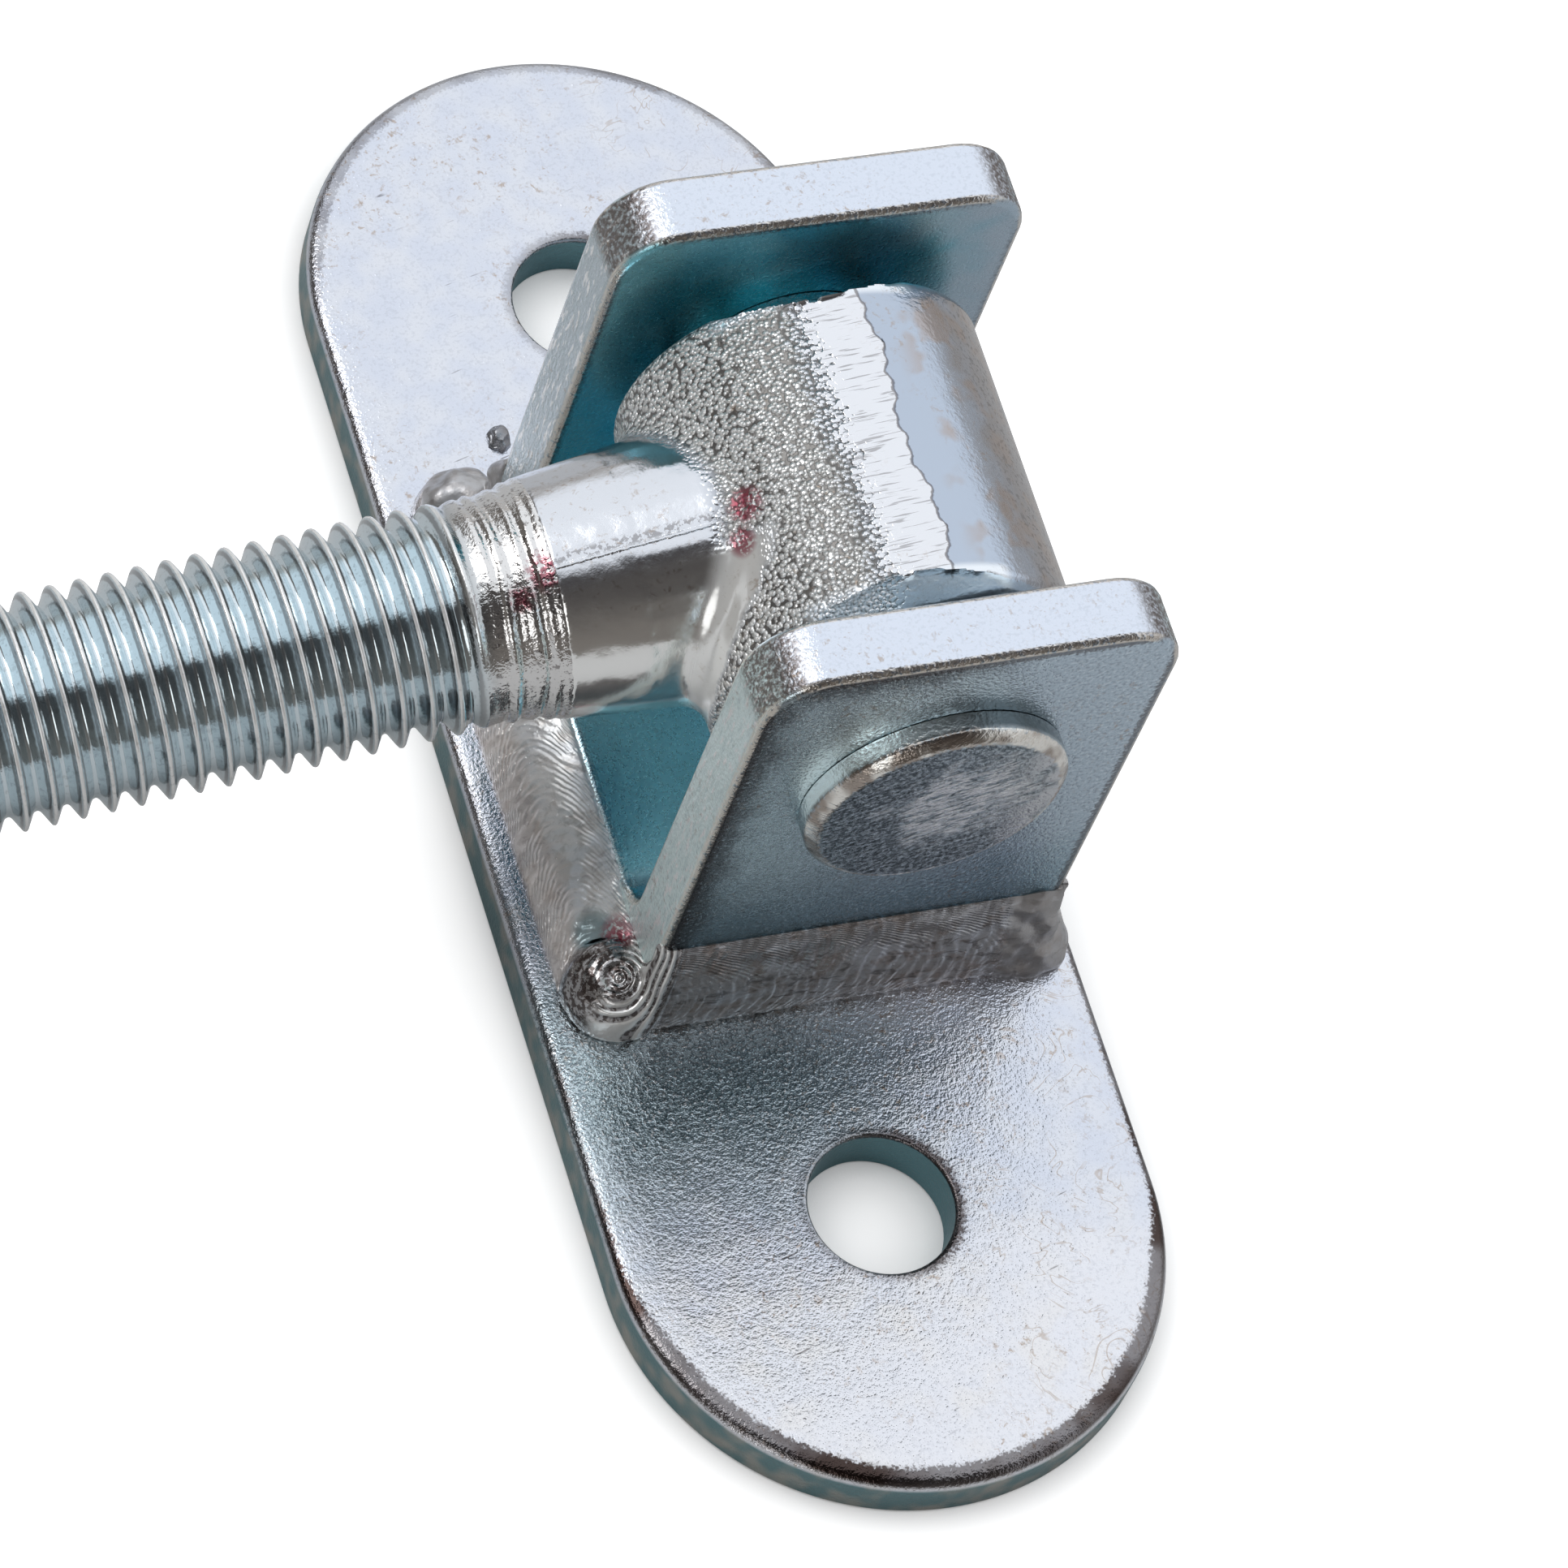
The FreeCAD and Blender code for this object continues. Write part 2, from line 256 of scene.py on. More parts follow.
class Nodes:
    """Writes one node tree."""

    def __init__(self, tree):
        self.tree = tree
        tree.nodes.clear()

    def node(self, kind, settings=None, sockets=None, output=0):
        made = self.tree.nodes.new(kind)
        for name, value in (settings or {}).items():
            setattr(made, name, value)
        for key, value in (sockets or {}).items():
            if isinstance(value, Value):
                self.tree.links.new(value.socket, made.inputs[key])
            else:
                made.inputs[key].default_value = value
        return Value(self, made.outputs[output]) if made.outputs else None

    def other(self, value, output):
        """Another output of the node that gives a value."""
        return Value(self, value.socket.node.outputs[output])

    def maths(self, operation, first, second):
        return self.node("ShaderNodeMath", {"operation": operation}, {0: first, 1: second})

    def most(self, first, second):
        return self.maths("MAXIMUM", first, second)

    def sine(self, value):
        return self.maths("SINE", value, 0.0)

    def length(self, first, second):
        return (first * first + second * second) ** 0.5

    def fade(self, value, start, end):
        """0 at start and 1 at end, smooth between them."""
        return self.node(
            "ShaderNodeMapRange",
            {"interpolation_type": "SMOOTHSTEP"},
            {"Value": value, "From Min": start, "From Max": end},
        )

    def tint(self, mask, base, other):
        return self.node("ShaderNodeMix", {"data_type": "RGBA"}, {0: mask, 6: base, 7: other}, 2)

    def vector(self, operation, first, second, output=0):
        return self.node("ShaderNodeVectorMath", {"operation": operation}, {0: first, 1: second}, output)

    def along(self, place, axis):
        return self.vector("DOT_PRODUCT", place, axis, 1)

    def split(self, place):
        return [self.along(place, axis) for axis in ((1, 0, 0), (0, 1, 0), (0, 0, 1))]

    def place(self, centre=(0.0, 0.0, 0.0)):
        """Object coordinates in millimetres, from a centre."""
        at = self.node("ShaderNodeTexCoord", output=3)
        scaled = self.vector("MULTIPLY", at, (1 / MM, 1 / MM, 1 / MM))
        return self.vector("SUBTRACT", scaled, centre)

    def facing(self, axis):
        """How far the bare surface faces along an axis of the piece."""
        return self.along(self.node("ShaderNodeTexCoord", output=1), axis)

    def stretched(self, place, factors):
        return self.vector("MULTIPLY", place, factors)

    def dragged(self, place, along, along_scale, across, across_scale):
        """Flat coordinates for marks drawn out along one direction."""
        return self.node(
            "ShaderNodeCombineXYZ",
            sockets={0: along_scale * self.along(place, along), 1: across_scale * self.along(place, across)},
        )

    def grain(self, place, per_mm, detail=2.0, rough=0.5, warp=0.0):
        return self.node(
            "ShaderNodeTexNoise",
            sockets={
                "Vector": place, "Scale": per_mm, "Detail": detail, "Roughness": rough, "Distortion": warp,
            },
        )

    def spot(self, place, centre, inner, outer):
        """1 near a point, fading out."""
        offset = self.vector("SUBTRACT", place, centre)
        return self.fade(self.along(offset, offset), outer * outer, inner * inner)

    def metal(self, colour, roughness, height, metallic=1.0):
        """The finished surface: a metal with relief in millimetres."""
        relief = self.node("ShaderNodeBump", sockets={"Strength": 1.0, "Distance": MM, "Height": height})
        shader = self.node(
            "ShaderNodeBsdfPrincipled",
            sockets={"Base Color": colour, "Metallic": metallic, "Roughness": roughness, "Normal": relief},
        )
        self.node("ShaderNodeOutputMaterial", sockets={"Surface": shader})


def new_finish(name):
    material = bpy.data.materials.new(name)
    material.use_nodes = True
    return material, Nodes(material.node_tree)


def colour(red, green, blue):
    return (red, green, blue, 1.0)


# Colours that several finishes share
WHITE = colour(1.0, 1.0, 1.0)
GLINT = colour(0.97, 0.97, 0.95)
BROWN_STAIN = colour(0.42, 0.31, 0.22)
# Dark wear and dirt in most places; painted shade beside the thread's crests and in the welds' creases and
# groove
DARK_WEAR_AND_SHADE = colour(0.07, 0.05, 0.045)
REDDISH = colour(0.36, 0.05, 0.09)


def stains(nodes, place, shift):
    """Thin brown specks, gathered in loose patches."""
    shifted = nodes.vector("ADD", place, (shift, 2.0 * shift, 0.0))
    specks = nodes.fade(nodes.grain(shifted, 1.6, 3.0, 0.7, 0.4), 0.56, 0.72)
    patches = nodes.fade(nodes.grain(shifted, 0.11, 1.0), 0.40, 0.62)
    return specks * patches


# Plate colours
BLUE_WHITE = colour(0.70, 0.735, 0.82)
PALE_ZINC = colour(0.76, 0.78, 0.83)
NEAR_END_ZINC = colour(0.85, 0.85, 0.88)
WARM_FILM = colour(0.86, 0.80, 0.70)
# Painted shade in front of the front ear, and darker flecks in it
FRONT_SHADE_BLUE = colour(0.60, 0.69, 0.74)
FRONT_SHADE_DARK = colour(0.14, 0.20, 0.23)
GREY_FLECK = colour(0.45, 0.47, 0.52)
# Painted shade on the side walls, darkest in the holes
WALL_SHADE_TEAL = colour(0.18, 0.30, 0.32)
WALL_SHADE_GREY = colour(0.42, 0.43, 0.40)
HOLE_SHADE_TEAL = colour(0.20, 0.37, 0.41)


def plate_finish():
    material, nodes = new_finish("plate_zinc")
    place = nodes.place()
    x, y, z = nodes.split(place)
    beyond = nodes.most(abs(y) - PLATE_END_Y, 0.0)
    inset = PLATE_HALF_W - nodes.length(x, beyond)
    hole_gap = nodes.length(x, abs(y) - HOLE_Y) - HOLE_R
    fine = nodes.grain(place, 3.9, 2.0, 0.6)
    broad = nodes.grain(place, 0.45, 1.0)
    blotch = nodes.grain(place, 0.15, 2.0, 0.6)
    uneven = fine - 0.5
    patchy = blotch - 0.5
    upper = nodes.fade(z, 2.6, 3.1)
    wall = nodes.fade(nodes.facing((0, 0, 1)), 0.45, 0.1)

    # Dark wear on the rims, widest at the near end
    widened = 0.55 * nodes.fade(abs(y), 38.0, 46.0) + 0.3 * nodes.fade(y, -38.0, -48.0)
    rim = nodes.fade(inset + 1.3 * uneven - widened, 0.85, 0.45) * nodes.fade(inset, 0.08, 0.3) * upper
    rim = rim * (0.3 + 0.45 * nodes.fade(y, 0.0, -40.0) + 0.25 * nodes.fade(blotch, 0.4, 0.6))
    hole_rim = nodes.fade(hole_gap + 1.6 * uneven, 1.0, 0.35) * upper
    hole_rim = hole_rim * (0.35 + 0.55 * nodes.fade(x, -3.0, 4.0))

    # Scratches, brown traces, a warm film at the near end, and painted shade with painted glints in front of
    # the front ear
    drag = nodes.dragged(place, (0.96, 0.28, 0.0), 0.30, (-0.28, 0.96, 0.0), 2.6)
    scratches = nodes.fade(nodes.grain(drag, 1.0, 1.0), 0.72, 0.77) * nodes.fade(blotch, 0.48, 0.56)
    near_end = nodes.fade(y + 10.0 * patchy, -36.0, -46.0)
    traces = nodes.fade(abs(nodes.grain(place, 0.16, 3.0, 0.65, 1.2) - 0.5), 0.010, 0.003)
    traces = traces * nodes.fade(x, 1.0, 9.0) * nodes.fade(broad, 0.42, 0.56)
    warm = nodes.fade(blotch, 0.42, 0.60) * near_end * nodes.fade(broad, 0.35, 0.6)
    shade_before_ear = nodes.fade(y + 8.0 * patchy, -41.0, -27.0) * nodes.fade(x, 9.0, -7.0)
    shade_before_ear = shade_before_ear * nodes.fade(y, -14.0, -20.0)

    face = nodes.tint(nodes.fade(broad, 0.3, 0.75), BLUE_WHITE, PALE_ZINC)
    face = nodes.tint(0.75 * near_end, face, NEAR_END_ZINC)
    face = nodes.tint(0.22 * warm, face, WARM_FILM)
    # Painted shade in front of the front ear, with darker flecks and painted white glints
    face = nodes.tint(shade_before_ear, face, FRONT_SHADE_BLUE)
    face = nodes.tint(0.8 * shade_before_ear * nodes.fade(fine, 0.44, 0.58), face, FRONT_SHADE_DARK)
    face = nodes.tint(shade_before_ear * nodes.fade(fine, 0.61, 0.67), face, WHITE)
    face = nodes.tint(0.22 * nodes.fade(fine, 0.5, 0.66), face, GREY_FLECK)
    face = nodes.tint(0.45 * traces, face, BROWN_STAIN)
    face = nodes.tint(0.7 * stains(nodes, place, 3.0), face, BROWN_STAIN)
    face = nodes.tint(nodes.most(rim, nodes.most(hole_rim, 0.6 * scratches)), face, DARK_WEAR_AND_SHADE)
    # Side and hole walls: painted shade in dark teal, darkest in the holes
    side = nodes.tint(nodes.fade(broad, 0.4, 0.7), WALL_SHADE_TEAL, WALL_SHADE_GREY)
    side = nodes.tint(nodes.fade(hole_gap, 1.5, 0.5), side, HOLE_SHADE_TEAL)
    height = 0.066 * uneven + 0.05 * (broad - 0.5)
    nodes.metal(nodes.tint(wall, face, side), 0.15 + 0.2 * wall + 0.1 * uneven, height)
    return material


# Bracket colours
# Painted light and shade: the strip paler towards its left end, darker low on the front faces
EAR_BLUE = colour(0.52, 0.63, 0.73)
EAR_LIT_PALE = colour(0.78, 0.95, 1.0)
EAR_LOW_SHADE = colour(0.26, 0.43, 0.52)
EAR_SPECK = colour(0.26, 0.30, 0.34)
EAR_GLINT = colour(0.82, 0.94, 1.0)
SMUDGE = colour(0.12, 0.125, 0.13)
SMEAR = colour(0.05, 0.05, 0.05)
CUT_END = colour(0.74, 0.79, 0.88)
# Cut edges: painted lighter at the front ear and darker at the rear ear, as painted light and shade
REAR_FLANK_SHADED = colour(0.52, 0.60, 0.64)
FRONT_FLANK_LIT = colour(0.84, 1.0, 1.0)
FLANK_STREAK = colour(0.50, 0.64, 0.68)
FLANK_SPECK = colour(0.34, 0.40, 0.42)
CORNER_DIRT = colour(0.14, 0.112, 0.10)
WORN_EDGE = colour(0.84, 0.77, 0.68)
# Painted shade inside the U
DEEP_SHADE_TEAL = colour(0.01, 0.42, 0.56)
LIGHT_SHADE_TEAL = colour(0.24, 0.56, 0.64)
RIGHT_SHADE_TEAL = colour(0.44, 0.54, 0.63)
WEB_SHADE_TEAL = colour(0.44, 0.88, 1.0)
FRONT_INSIDE_SHADE = colour(0.78, 0.88, 0.94)


def bracket_finish():
    material, nodes = new_finish("bracket_zinc")
    place = nodes.place()
    x, y, z = nodes.split(place)
    fine = nodes.grain(place, 3.4, 2.0, 0.6)
    broad = nodes.grain(place, 0.35, 1.0)
    streaks = nodes.grain(nodes.stretched(place, (1.0, 1.0, 0.25)), 2.4, 2.0, 0.6)
    uneven = fine - 0.5
    patchy = broad - 0.5
    across = nodes.most(STRIP_LOW_X - x, x - STRIP_HIGH_X)
    from_edge = nodes.most(across, z - EAR_TOP)
    ragged = from_edge + uneven

    # Faces of the strip
    upright = abs(nodes.facing((0, 1, 0)))
    level = nodes.facing((0, 0, 1))
    front = nodes.fade(nodes.facing((0, -1, 0)), 0.5, 0.8)
    inside = nodes.fade(abs(y), EAR_INNER + 0.6, EAR_INNER + 0.1) * nodes.fade(ragged, -0.3, -1.0)
    edge_side = nodes.fade(abs(nodes.facing((1, 0, 0))), 0.6, 0.9)
    cut_end = nodes.fade(level, 0.5, 0.85) * nodes.fade(z, EAR_TOP - 3.0, EAR_TOP - 1.0)
    corner = nodes.fade(z, EAR_TOP - 5.2, EAR_TOP - 3.6) * nodes.fade(level, 0.98, 0.85)
    corner = corner * nodes.fade(upright, 0.6, 0.3)

    # Wear and dirt, and painted shade low on the front faces
    wear = nodes.fade(ragged, -1.15, -0.75) * nodes.fade(ragged, -0.2, -0.45) * nodes.fade(upright, 0.3, 0.7)
    worn_edge = nodes.fade(upright, 0.15, 0.45) * nodes.fade(upright, 0.985, 0.93)
    worn_edge = worn_edge * nodes.fade(from_edge, -1.2, -0.7) * nodes.fade(fine, 0.66, 0.52)
    low_shade = nodes.fade(z + 5.0 * patchy, 24.0, 13.0) * front
    smudge = nodes.fade(from_edge + 1.8 * uneven + 3.0 * patchy, -3.8, -1.2) * front
    smudge = smudge * nodes.fade(x, 7.0, -8.0)
    smear = nodes.fade(from_edge + 1.2 * uneven + 1.5 * patchy, -2.5, -1.3) * front
    smear = smear * nodes.fade(x, 8.0, -2.0)
    speckle = nodes.fade(fine, 0.5, 0.66) * (0.32 - 0.2 * cut_end + 0.2 * front)

    # Painted light: paler towards the strip's left end
    face = nodes.tint(nodes.fade(x + 8.0 * patchy, 9.0, -9.0), EAR_BLUE, EAR_LIT_PALE)
    # Painted shade low on the front faces
    face = nodes.tint(0.75 * low_shade, face, EAR_LOW_SHADE)
    face = nodes.tint(0.58 * smudge, face, SMUDGE)
    face = nodes.tint(0.55 * smear, face, SMEAR)
    face = nodes.tint(cut_end, face, CUT_END)
    face = nodes.tint(speckle, face, EAR_SPECK)
    face = nodes.tint(0.5 * front * nodes.fade(fine, 0.46, 0.34), face, EAR_GLINT)
    # Cut edges: painted light at the front ear, painted shade at the rear ear; the white streaks are partly
    # scratches, partly painted sparkle
    flank = nodes.tint(nodes.fade(y, 5.0, -5.0), REAR_FLANK_SHADED, FRONT_FLANK_LIT)
    flank = nodes.tint(0.3 * nodes.fade(streaks, 0.46, 0.34), flank, FLANK_STREAK)
    flank = nodes.tint(nodes.fade(streaks, 0.55, 0.66), flank, WHITE)
    flank = nodes.tint(0.22 * nodes.fade(fine, 0.52, 0.66), flank, FLANK_SPECK)
    face = nodes.tint(edge_side, face, flank)
    face = nodes.tint(0.9 * corner * nodes.fade(fine, 0.25, 0.6), face, CORNER_DIRT)
    face = nodes.tint(0.6 * stains(nodes, place, 7.0), face, BROWN_STAIN)
    face = nodes.tint(0.65 * wear, face, DARK_WEAR_AND_SHADE)
    face = nodes.tint(0.7 * worn_edge, face, WORN_EDGE)

    # Painted shade inside the U: deep teal in the recess, lighter towards the open edges, greyer towards the
    # right end, lighter on the web floor and on the front ear's inner face
    shade_lifts_by_edges = nodes.fade(from_edge + 6.0 * patchy, -9.0, -1.0)
    inside_shade = nodes.tint(nodes.fade(x, 4.0, 14.0), LIGHT_SHADE_TEAL, RIGHT_SHADE_TEAL)
    inside_shade = nodes.tint(shade_lifts_by_edges, DEEP_SHADE_TEAL, inside_shade)
    inside_shade = nodes.tint(nodes.fade(z, 12.0, 9.5), inside_shade, WEB_SHADE_TEAL)
    inside_shade = nodes.tint(nodes.fade(y, -11.0, -14.0), inside_shade, FRONT_INSIDE_SHADE)
    face = nodes.tint(inside, face, inside_shade)

    height = (0.068 - 0.035 * inside) * uneven + 0.05 * patchy + 0.11 * edge_side * (streaks - 0.5)
    roughness = 0.16 + 0.1 * uneven + 0.06 * edge_side + 0.12 * inside + 0.22 * corner
    nodes.metal(face, roughness, height, 1 - 0.55 * edge_side)
    return material


# Pin colours
HEAD_DARK = colour(0.13, 0.165, 0.19)
HEAD_GREY = colour(0.47, 0.54, 0.59)
HEAD_RIGHT = colour(0.66, 0.67, 0.70)
SCUFF = colour(0.84, 0.85, 0.87)
HEAD_SIDE = colour(0.45, 0.57, 0.60)
# The head's side: painted highlight and painted shade
HEAD_SIDE_HIGHLIGHT = colour(0.97, 1.0, 0.98)
HEAD_SIDE_SHADE = colour(0.17, 0.18, 0.18)
# The chamfer ring: painted highlight, broken by brown wear
RIM_HIGHLIGHT = colour(0.90, 0.88, 0.83)
RIM_BROWN = colour(0.40, 0.35, 0.31)


def pin_finish():
    material, nodes = new_finish("pin_zinc")
    place = nodes.place(PIN)
    x, y, z = nodes.split(place)
    out = nodes.length(x, z)
    fine = nodes.grain(place, 2.8, 2.0, 0.6)
    blot = nodes.grain(place, 0.4, 2.0)
    drag = nodes.dragged(place, (0.94, 0.0, 0.34), 0.45, (-0.34, 0.0, 0.94), 2.2)
    scuffed = nodes.grain(drag, 1.2, 3.0, 0.65, 0.5)
    uneven = fine - 0.5
    patch = nodes.fade(nodes.length(x - 1.2, z - 0.6) + 9.0 * (blot - 0.5), 6.4, 2.4)
    head = nodes.fade(y, -21.0, -21.5)
    ring = nodes.fade(abs(out - HEAD_R + 0.4) + 0.9 * uneven, 0.6, 0.3) * head
    face = nodes.tint(nodes.fade(fine, 0.4, 0.62), HEAD_DARK, HEAD_GREY)
    face = nodes.tint(patch * nodes.fade(scuffed, 0.40, 0.56), face, SCUFF)
    face = nodes.tint(nodes.fade(x, 3.5, 7.5) * nodes.fade(blot, 0.35, 0.6), face, HEAD_RIGHT)
    face = nodes.tint(0.5 * nodes.fade(scuffed, 0.62, 0.72), face, DARK_WEAR_AND_SHADE)
    # The head's side: painted highlight on the upper left, painted shade on the upper right
    side = nodes.tint(nodes.fade(z - x, 5.0, 11.0), HEAD_SIDE, HEAD_SIDE_HIGHLIGHT)
    side = nodes.tint(0.8 * nodes.fade(z + x, 6.0, 12.0), side, HEAD_SIDE_SHADE)
    face = nodes.tint(head, side, face)
    # The chamfer ring: painted highlight, broken by brown wear
    rim = nodes.tint(nodes.fade(blot, 0.42, 0.6), RIM_HIGHLIGHT, RIM_BROWN)
    face = nodes.tint(ring, face, rim)
    height = 0.05 * uneven + (0.07 + 0.2 * patch) * (scuffed - 0.5) * head
    nodes.metal(face, 0.19 + 0.08 * patch, height)
    return material


# Forging colours
DRUM_BLUE = colour(0.50, 0.565, 0.665)
DRUM_BROWN = colour(0.41, 0.395, 0.395)
DRUM_MOTTLE = colour(0.46, 0.38, 0.33)
# Pebbles: painted glints on some, painted shade in the gaps between them
PEBBLE_GREY = colour(0.82, 0.82, 0.80)
PEBBLE_GLINT_WHITE = colour(1.0, 1.0, 0.99)
PEBBLE_GAP_SHADE = colour(0.17, 0.165, 0.16)
TRIMMED = colour(0.84, 0.85, 0.88)
SLOPED_END = colour(0.88, 0.92, 0.96)
NECK_TOP = colour(0.75, 0.77, 0.81)
# The neck: painted shade underneath
NECK_UNDER_SHADE = colour(0.33, 0.40, 0.46)


def forging_finish():
    material, nodes = new_finish("forging_zinc")
    place = nodes.place(PIN)
    s = nodes.along(place, ROD)
    h = nodes.along(place, ROD_UP)
    y = nodes.along(place, (0, 1, 0))
    fine = nodes.grain(place, 2.8, 2.0, 0.6)
    broad = nodes.grain(place, 0.45, 1.5)
    uneven = fine - 0.5
    patchy = broad - 0.5
    cells = nodes.node("ShaderNodeTexVoronoi", {"feature": "F1"}, {"Vector": place, "Scale": 2.9})
    pebbles = cells + 0.5 * uneven
    glint = nodes.along(nodes.other(cells, "Color"), (1, 0, 0))
    scores = nodes.grain(nodes.stretched(place, (0.20, 3.6, 1.0)), 1.4, 2.0, 0.6)

    # Places: the neck, a smooth patch beside it with a painted highlight, the pebbled drum, and the trimmed
    # strip on top
    neck = nodes.fade(nodes.length(s, h), 13.25, 14.5)
    rod_gap = nodes.length(y, h) - NECK_ROOT_R
    smooth_highlight_patch = nodes.fade(rod_gap + 1.2 * patchy, 2.9, 2.1) * nodes.fade(y, -3.2, -4.4)
    smooth_highlight_patch = smooth_highlight_patch * nodes.fade(s, 6.0, 9.0)
    rough = nodes.fade(s + 2.6 * (pebbles - 0.4) + 2.2 * patchy, 0.9, 3.0) * (1 - neck) * (1 - smooth_highlight_patch)
    lip = LIP_S
    for wave, turn, phase in LIP_WAVES:
        lip = lip + wave * nodes.sine(turn * y + phase)
    top = nodes.fade(h, 11.6, 12.2)
    strip = nodes.fade(s - lip, -0.03, 0.05) * top * (1 - rough)
    crack = nodes.fade(abs(s - lip + 0.3 * uneven), 0.15, 0.05) * top
    scored = strip * nodes.fade(scores, 0.575, 0.64)
    sloped = nodes.fade(abs(y), 10.6, 11.2) * nodes.fade(h, 7.5, 8.5) * nodes.fade(abs(s), 7.5, 6.5)

    # Marks: the die's parting line along the neck, red spots and brown mottle
    parting = y + 2.25 + 0.2 * uneven
    on_neck = neck * nodes.fade(h, 5.0, 7.0)
    die_ridge = nodes.fade(abs(parting), 0.16, 0.05) * on_neck
    die_dirt = nodes.fade(abs(parting - 0.5), 0.55, 0.15) * on_neck * nodes.fade(fine, 0.47, 0.56)
    red = nodes.spot(place, (-9.7, -1.8, 8.7), 0.5, 1.6) + nodes.spot(place, (-10.4, -4.1, 7.8), 0.4, 1.3)
    red = red * nodes.fade(fine, 0.36, 0.5)
    mottle = nodes.fade(nodes.grain(place, 0.3, 2.0, 0.6), 0.48, 0.62) * nodes.fade(s, -4.0, -6.5)
    dirt = nodes.most(0.65 * crack, nodes.most(0.45 * scored, 0.5 * die_dirt))

    face = nodes.tint(nodes.fade(s + 4.0 * patchy, -7.5, -10.5), DRUM_BLUE, DRUM_BROWN)
    face = nodes.tint(0.65 * mottle, face, DRUM_MOTTLE)
    face = nodes.tint(0.5 * nodes.fade(fine, 0.54, 0.64) * nodes.fade(s, -8.0, -11.0), face, DARK_WEAR_AND_SHADE)
    # Pebbles: painted glints on some, painted shade in the gaps between them
    grains = nodes.tint(nodes.fade(glint, 0.25, 0.65), PEBBLE_GREY, PEBBLE_GLINT_WHITE)
    grains = nodes.tint(nodes.fade(pebbles, 0.54, 0.72), grains, PEBBLE_GAP_SHADE)
    face = nodes.tint(rough, face, grains)
    face = nodes.tint(strip, face, TRIMMED)
    face = nodes.tint(sloped, face, SLOPED_END)
    # The neck: painted shade underneath
    face = nodes.tint(neck, face, nodes.tint(nodes.fade(h, 2.5, -1.5), NECK_TOP, NECK_UNDER_SHADE))
    # Painted highlight on the smooth patch beside the neck
    face = nodes.tint(smooth_highlight_patch, face, GLINT)
    face = nodes.tint(dirt, face, DARK_WEAR_AND_SHADE)
    face = nodes.tint(0.5 * stains(nodes, place, 11.0), face, BROWN_STAIN)
    face = nodes.tint(0.85 * red, face, REDDISH)

    smooth = nodes.most(0.8 * smooth_highlight_patch, 0.65 * neck)
    height = 0.03 * uneven * (1 - smooth) + 0.05 * patchy
    height = height - 0.15 * rough * nodes.fade(pebbles, 0.2, 0.75) + 0.05 * die_ridge
    sheen = 1 - 0.4 * rough - 0.5 * smooth_highlight_patch * (1 - neck)
    nodes.metal(face, 0.16 + 0.12 * rough + 0.08 * uneven, height, sheen)
    return material


# Thread colours
# Painted shade on the flanks underneath, painted highlights on the crests
FLANK_TOP = colour(0.71, 0.80, 0.84)
FLANK_UNDER_SHADE = colour(0.37, 0.45, 0.48)
CREST_HIGHLIGHT = colour(0.98, 0.98, 0.97)
RUNOUT_GREY = colour(0.80, 0.79, 0.78)


def thread_finish():
    material, nodes = new_finish("thread_zinc")
    place = nodes.place(PIN)
    s = nodes.along(place, ROD)
    y = nodes.along(place, (0, 1, 0))
    h = nodes.along(place, ROD_UP)
    out = nodes.length(y, h)
    fine = nodes.grain(place, 2.4, 2.0, 0.6)
    uneven = fine - 0.5
    full = nodes.fade(s, 26.0, 28.5)
    runout = 1 - full
    crest = nodes.fade(out, 7.77, 7.84) * full
    edge = nodes.fade(abs(out - 7.55) + 0.16 * uneven, 0.2, 0.08) * full
    # Painted shade on the underside of the flanks, painted highlights on the crests
    flanks = nodes.tint(nodes.fade(h, 0.0, -4.0), FLANK_TOP, FLANK_UNDER_SHADE)
    face = nodes.tint(crest, flanks, CREST_HIGHLIGHT)
    face = nodes.tint(runout, face, RUNOUT_GREY)
    # Dark beside the crests is painted shade; the speckle, most on the run-out, is dirt
    dirt = nodes.most(0.6 * edge, 0.6 * nodes.fade(fine, 0.57, 0.68) * nodes.most(runout, 0.35))
    face = nodes.tint(dirt, face, DARK_WEAR_AND_SHADE)
    red = nodes.spot(place, (-22.9, -2.2, 4.2), 0.6, 1.9) + nodes.spot(place, (-24.9, -3.4, 3.2), 0.3, 1.2)
    face = nodes.tint(0.8 * red * nodes.fade(fine, 0.38, 0.52), face, REDDISH)
    height = (0.012 + 0.06 * runout) * uneven
    nodes.metal(face, 0.13 + 0.1 * uneven, height, 1 - 0.6 * crest)
    return material


# Weld colours, and what differs between the beads across the strip and those along its sides
WELD_BROWN = colour(0.47, 0.39, 0.34)
WELD_FOOT = colour(0.60, 0.48, 0.42)
LUMP_GREY = colour(0.42, 0.41, 0.41)
SPATTER_DARK = colour(0.16, 0.17, 0.19)
# Painted shade in the hollow beside the front left lump
HOLLOW_SHADE_TEAL = colour(0.22, 0.37, 0.41)
WeldLook = namedtuple(
    "WeldLook", "name lengthwise crown ripple brown foot creases groove glints metallic dark light",
)
ACROSS = WeldLook(
    name="weld_zinc_across", lengthwise=False, crown=9.9, ripple=0.45, brown=0.7, foot=0.2, creases=0.55,
    groove=0.5, glints=0.6, metallic=0.8, dark=colour(0.64, 0.64, 0.65), light=colour(0.80, 0.83, 0.88),
)
# The beads along the sides: a lighter copy of the bead colours, painted light
ALONG = WeldLook(
    name="weld_zinc_along", lengthwise=True, crown=7.6, ripple=0.8, brown=0.4, foot=0.4, creases=0.2,
    groove=0.0, glints=0.0, metallic=0.45, dark=colour(0.90, 0.92, 0.95), light=WHITE,
)


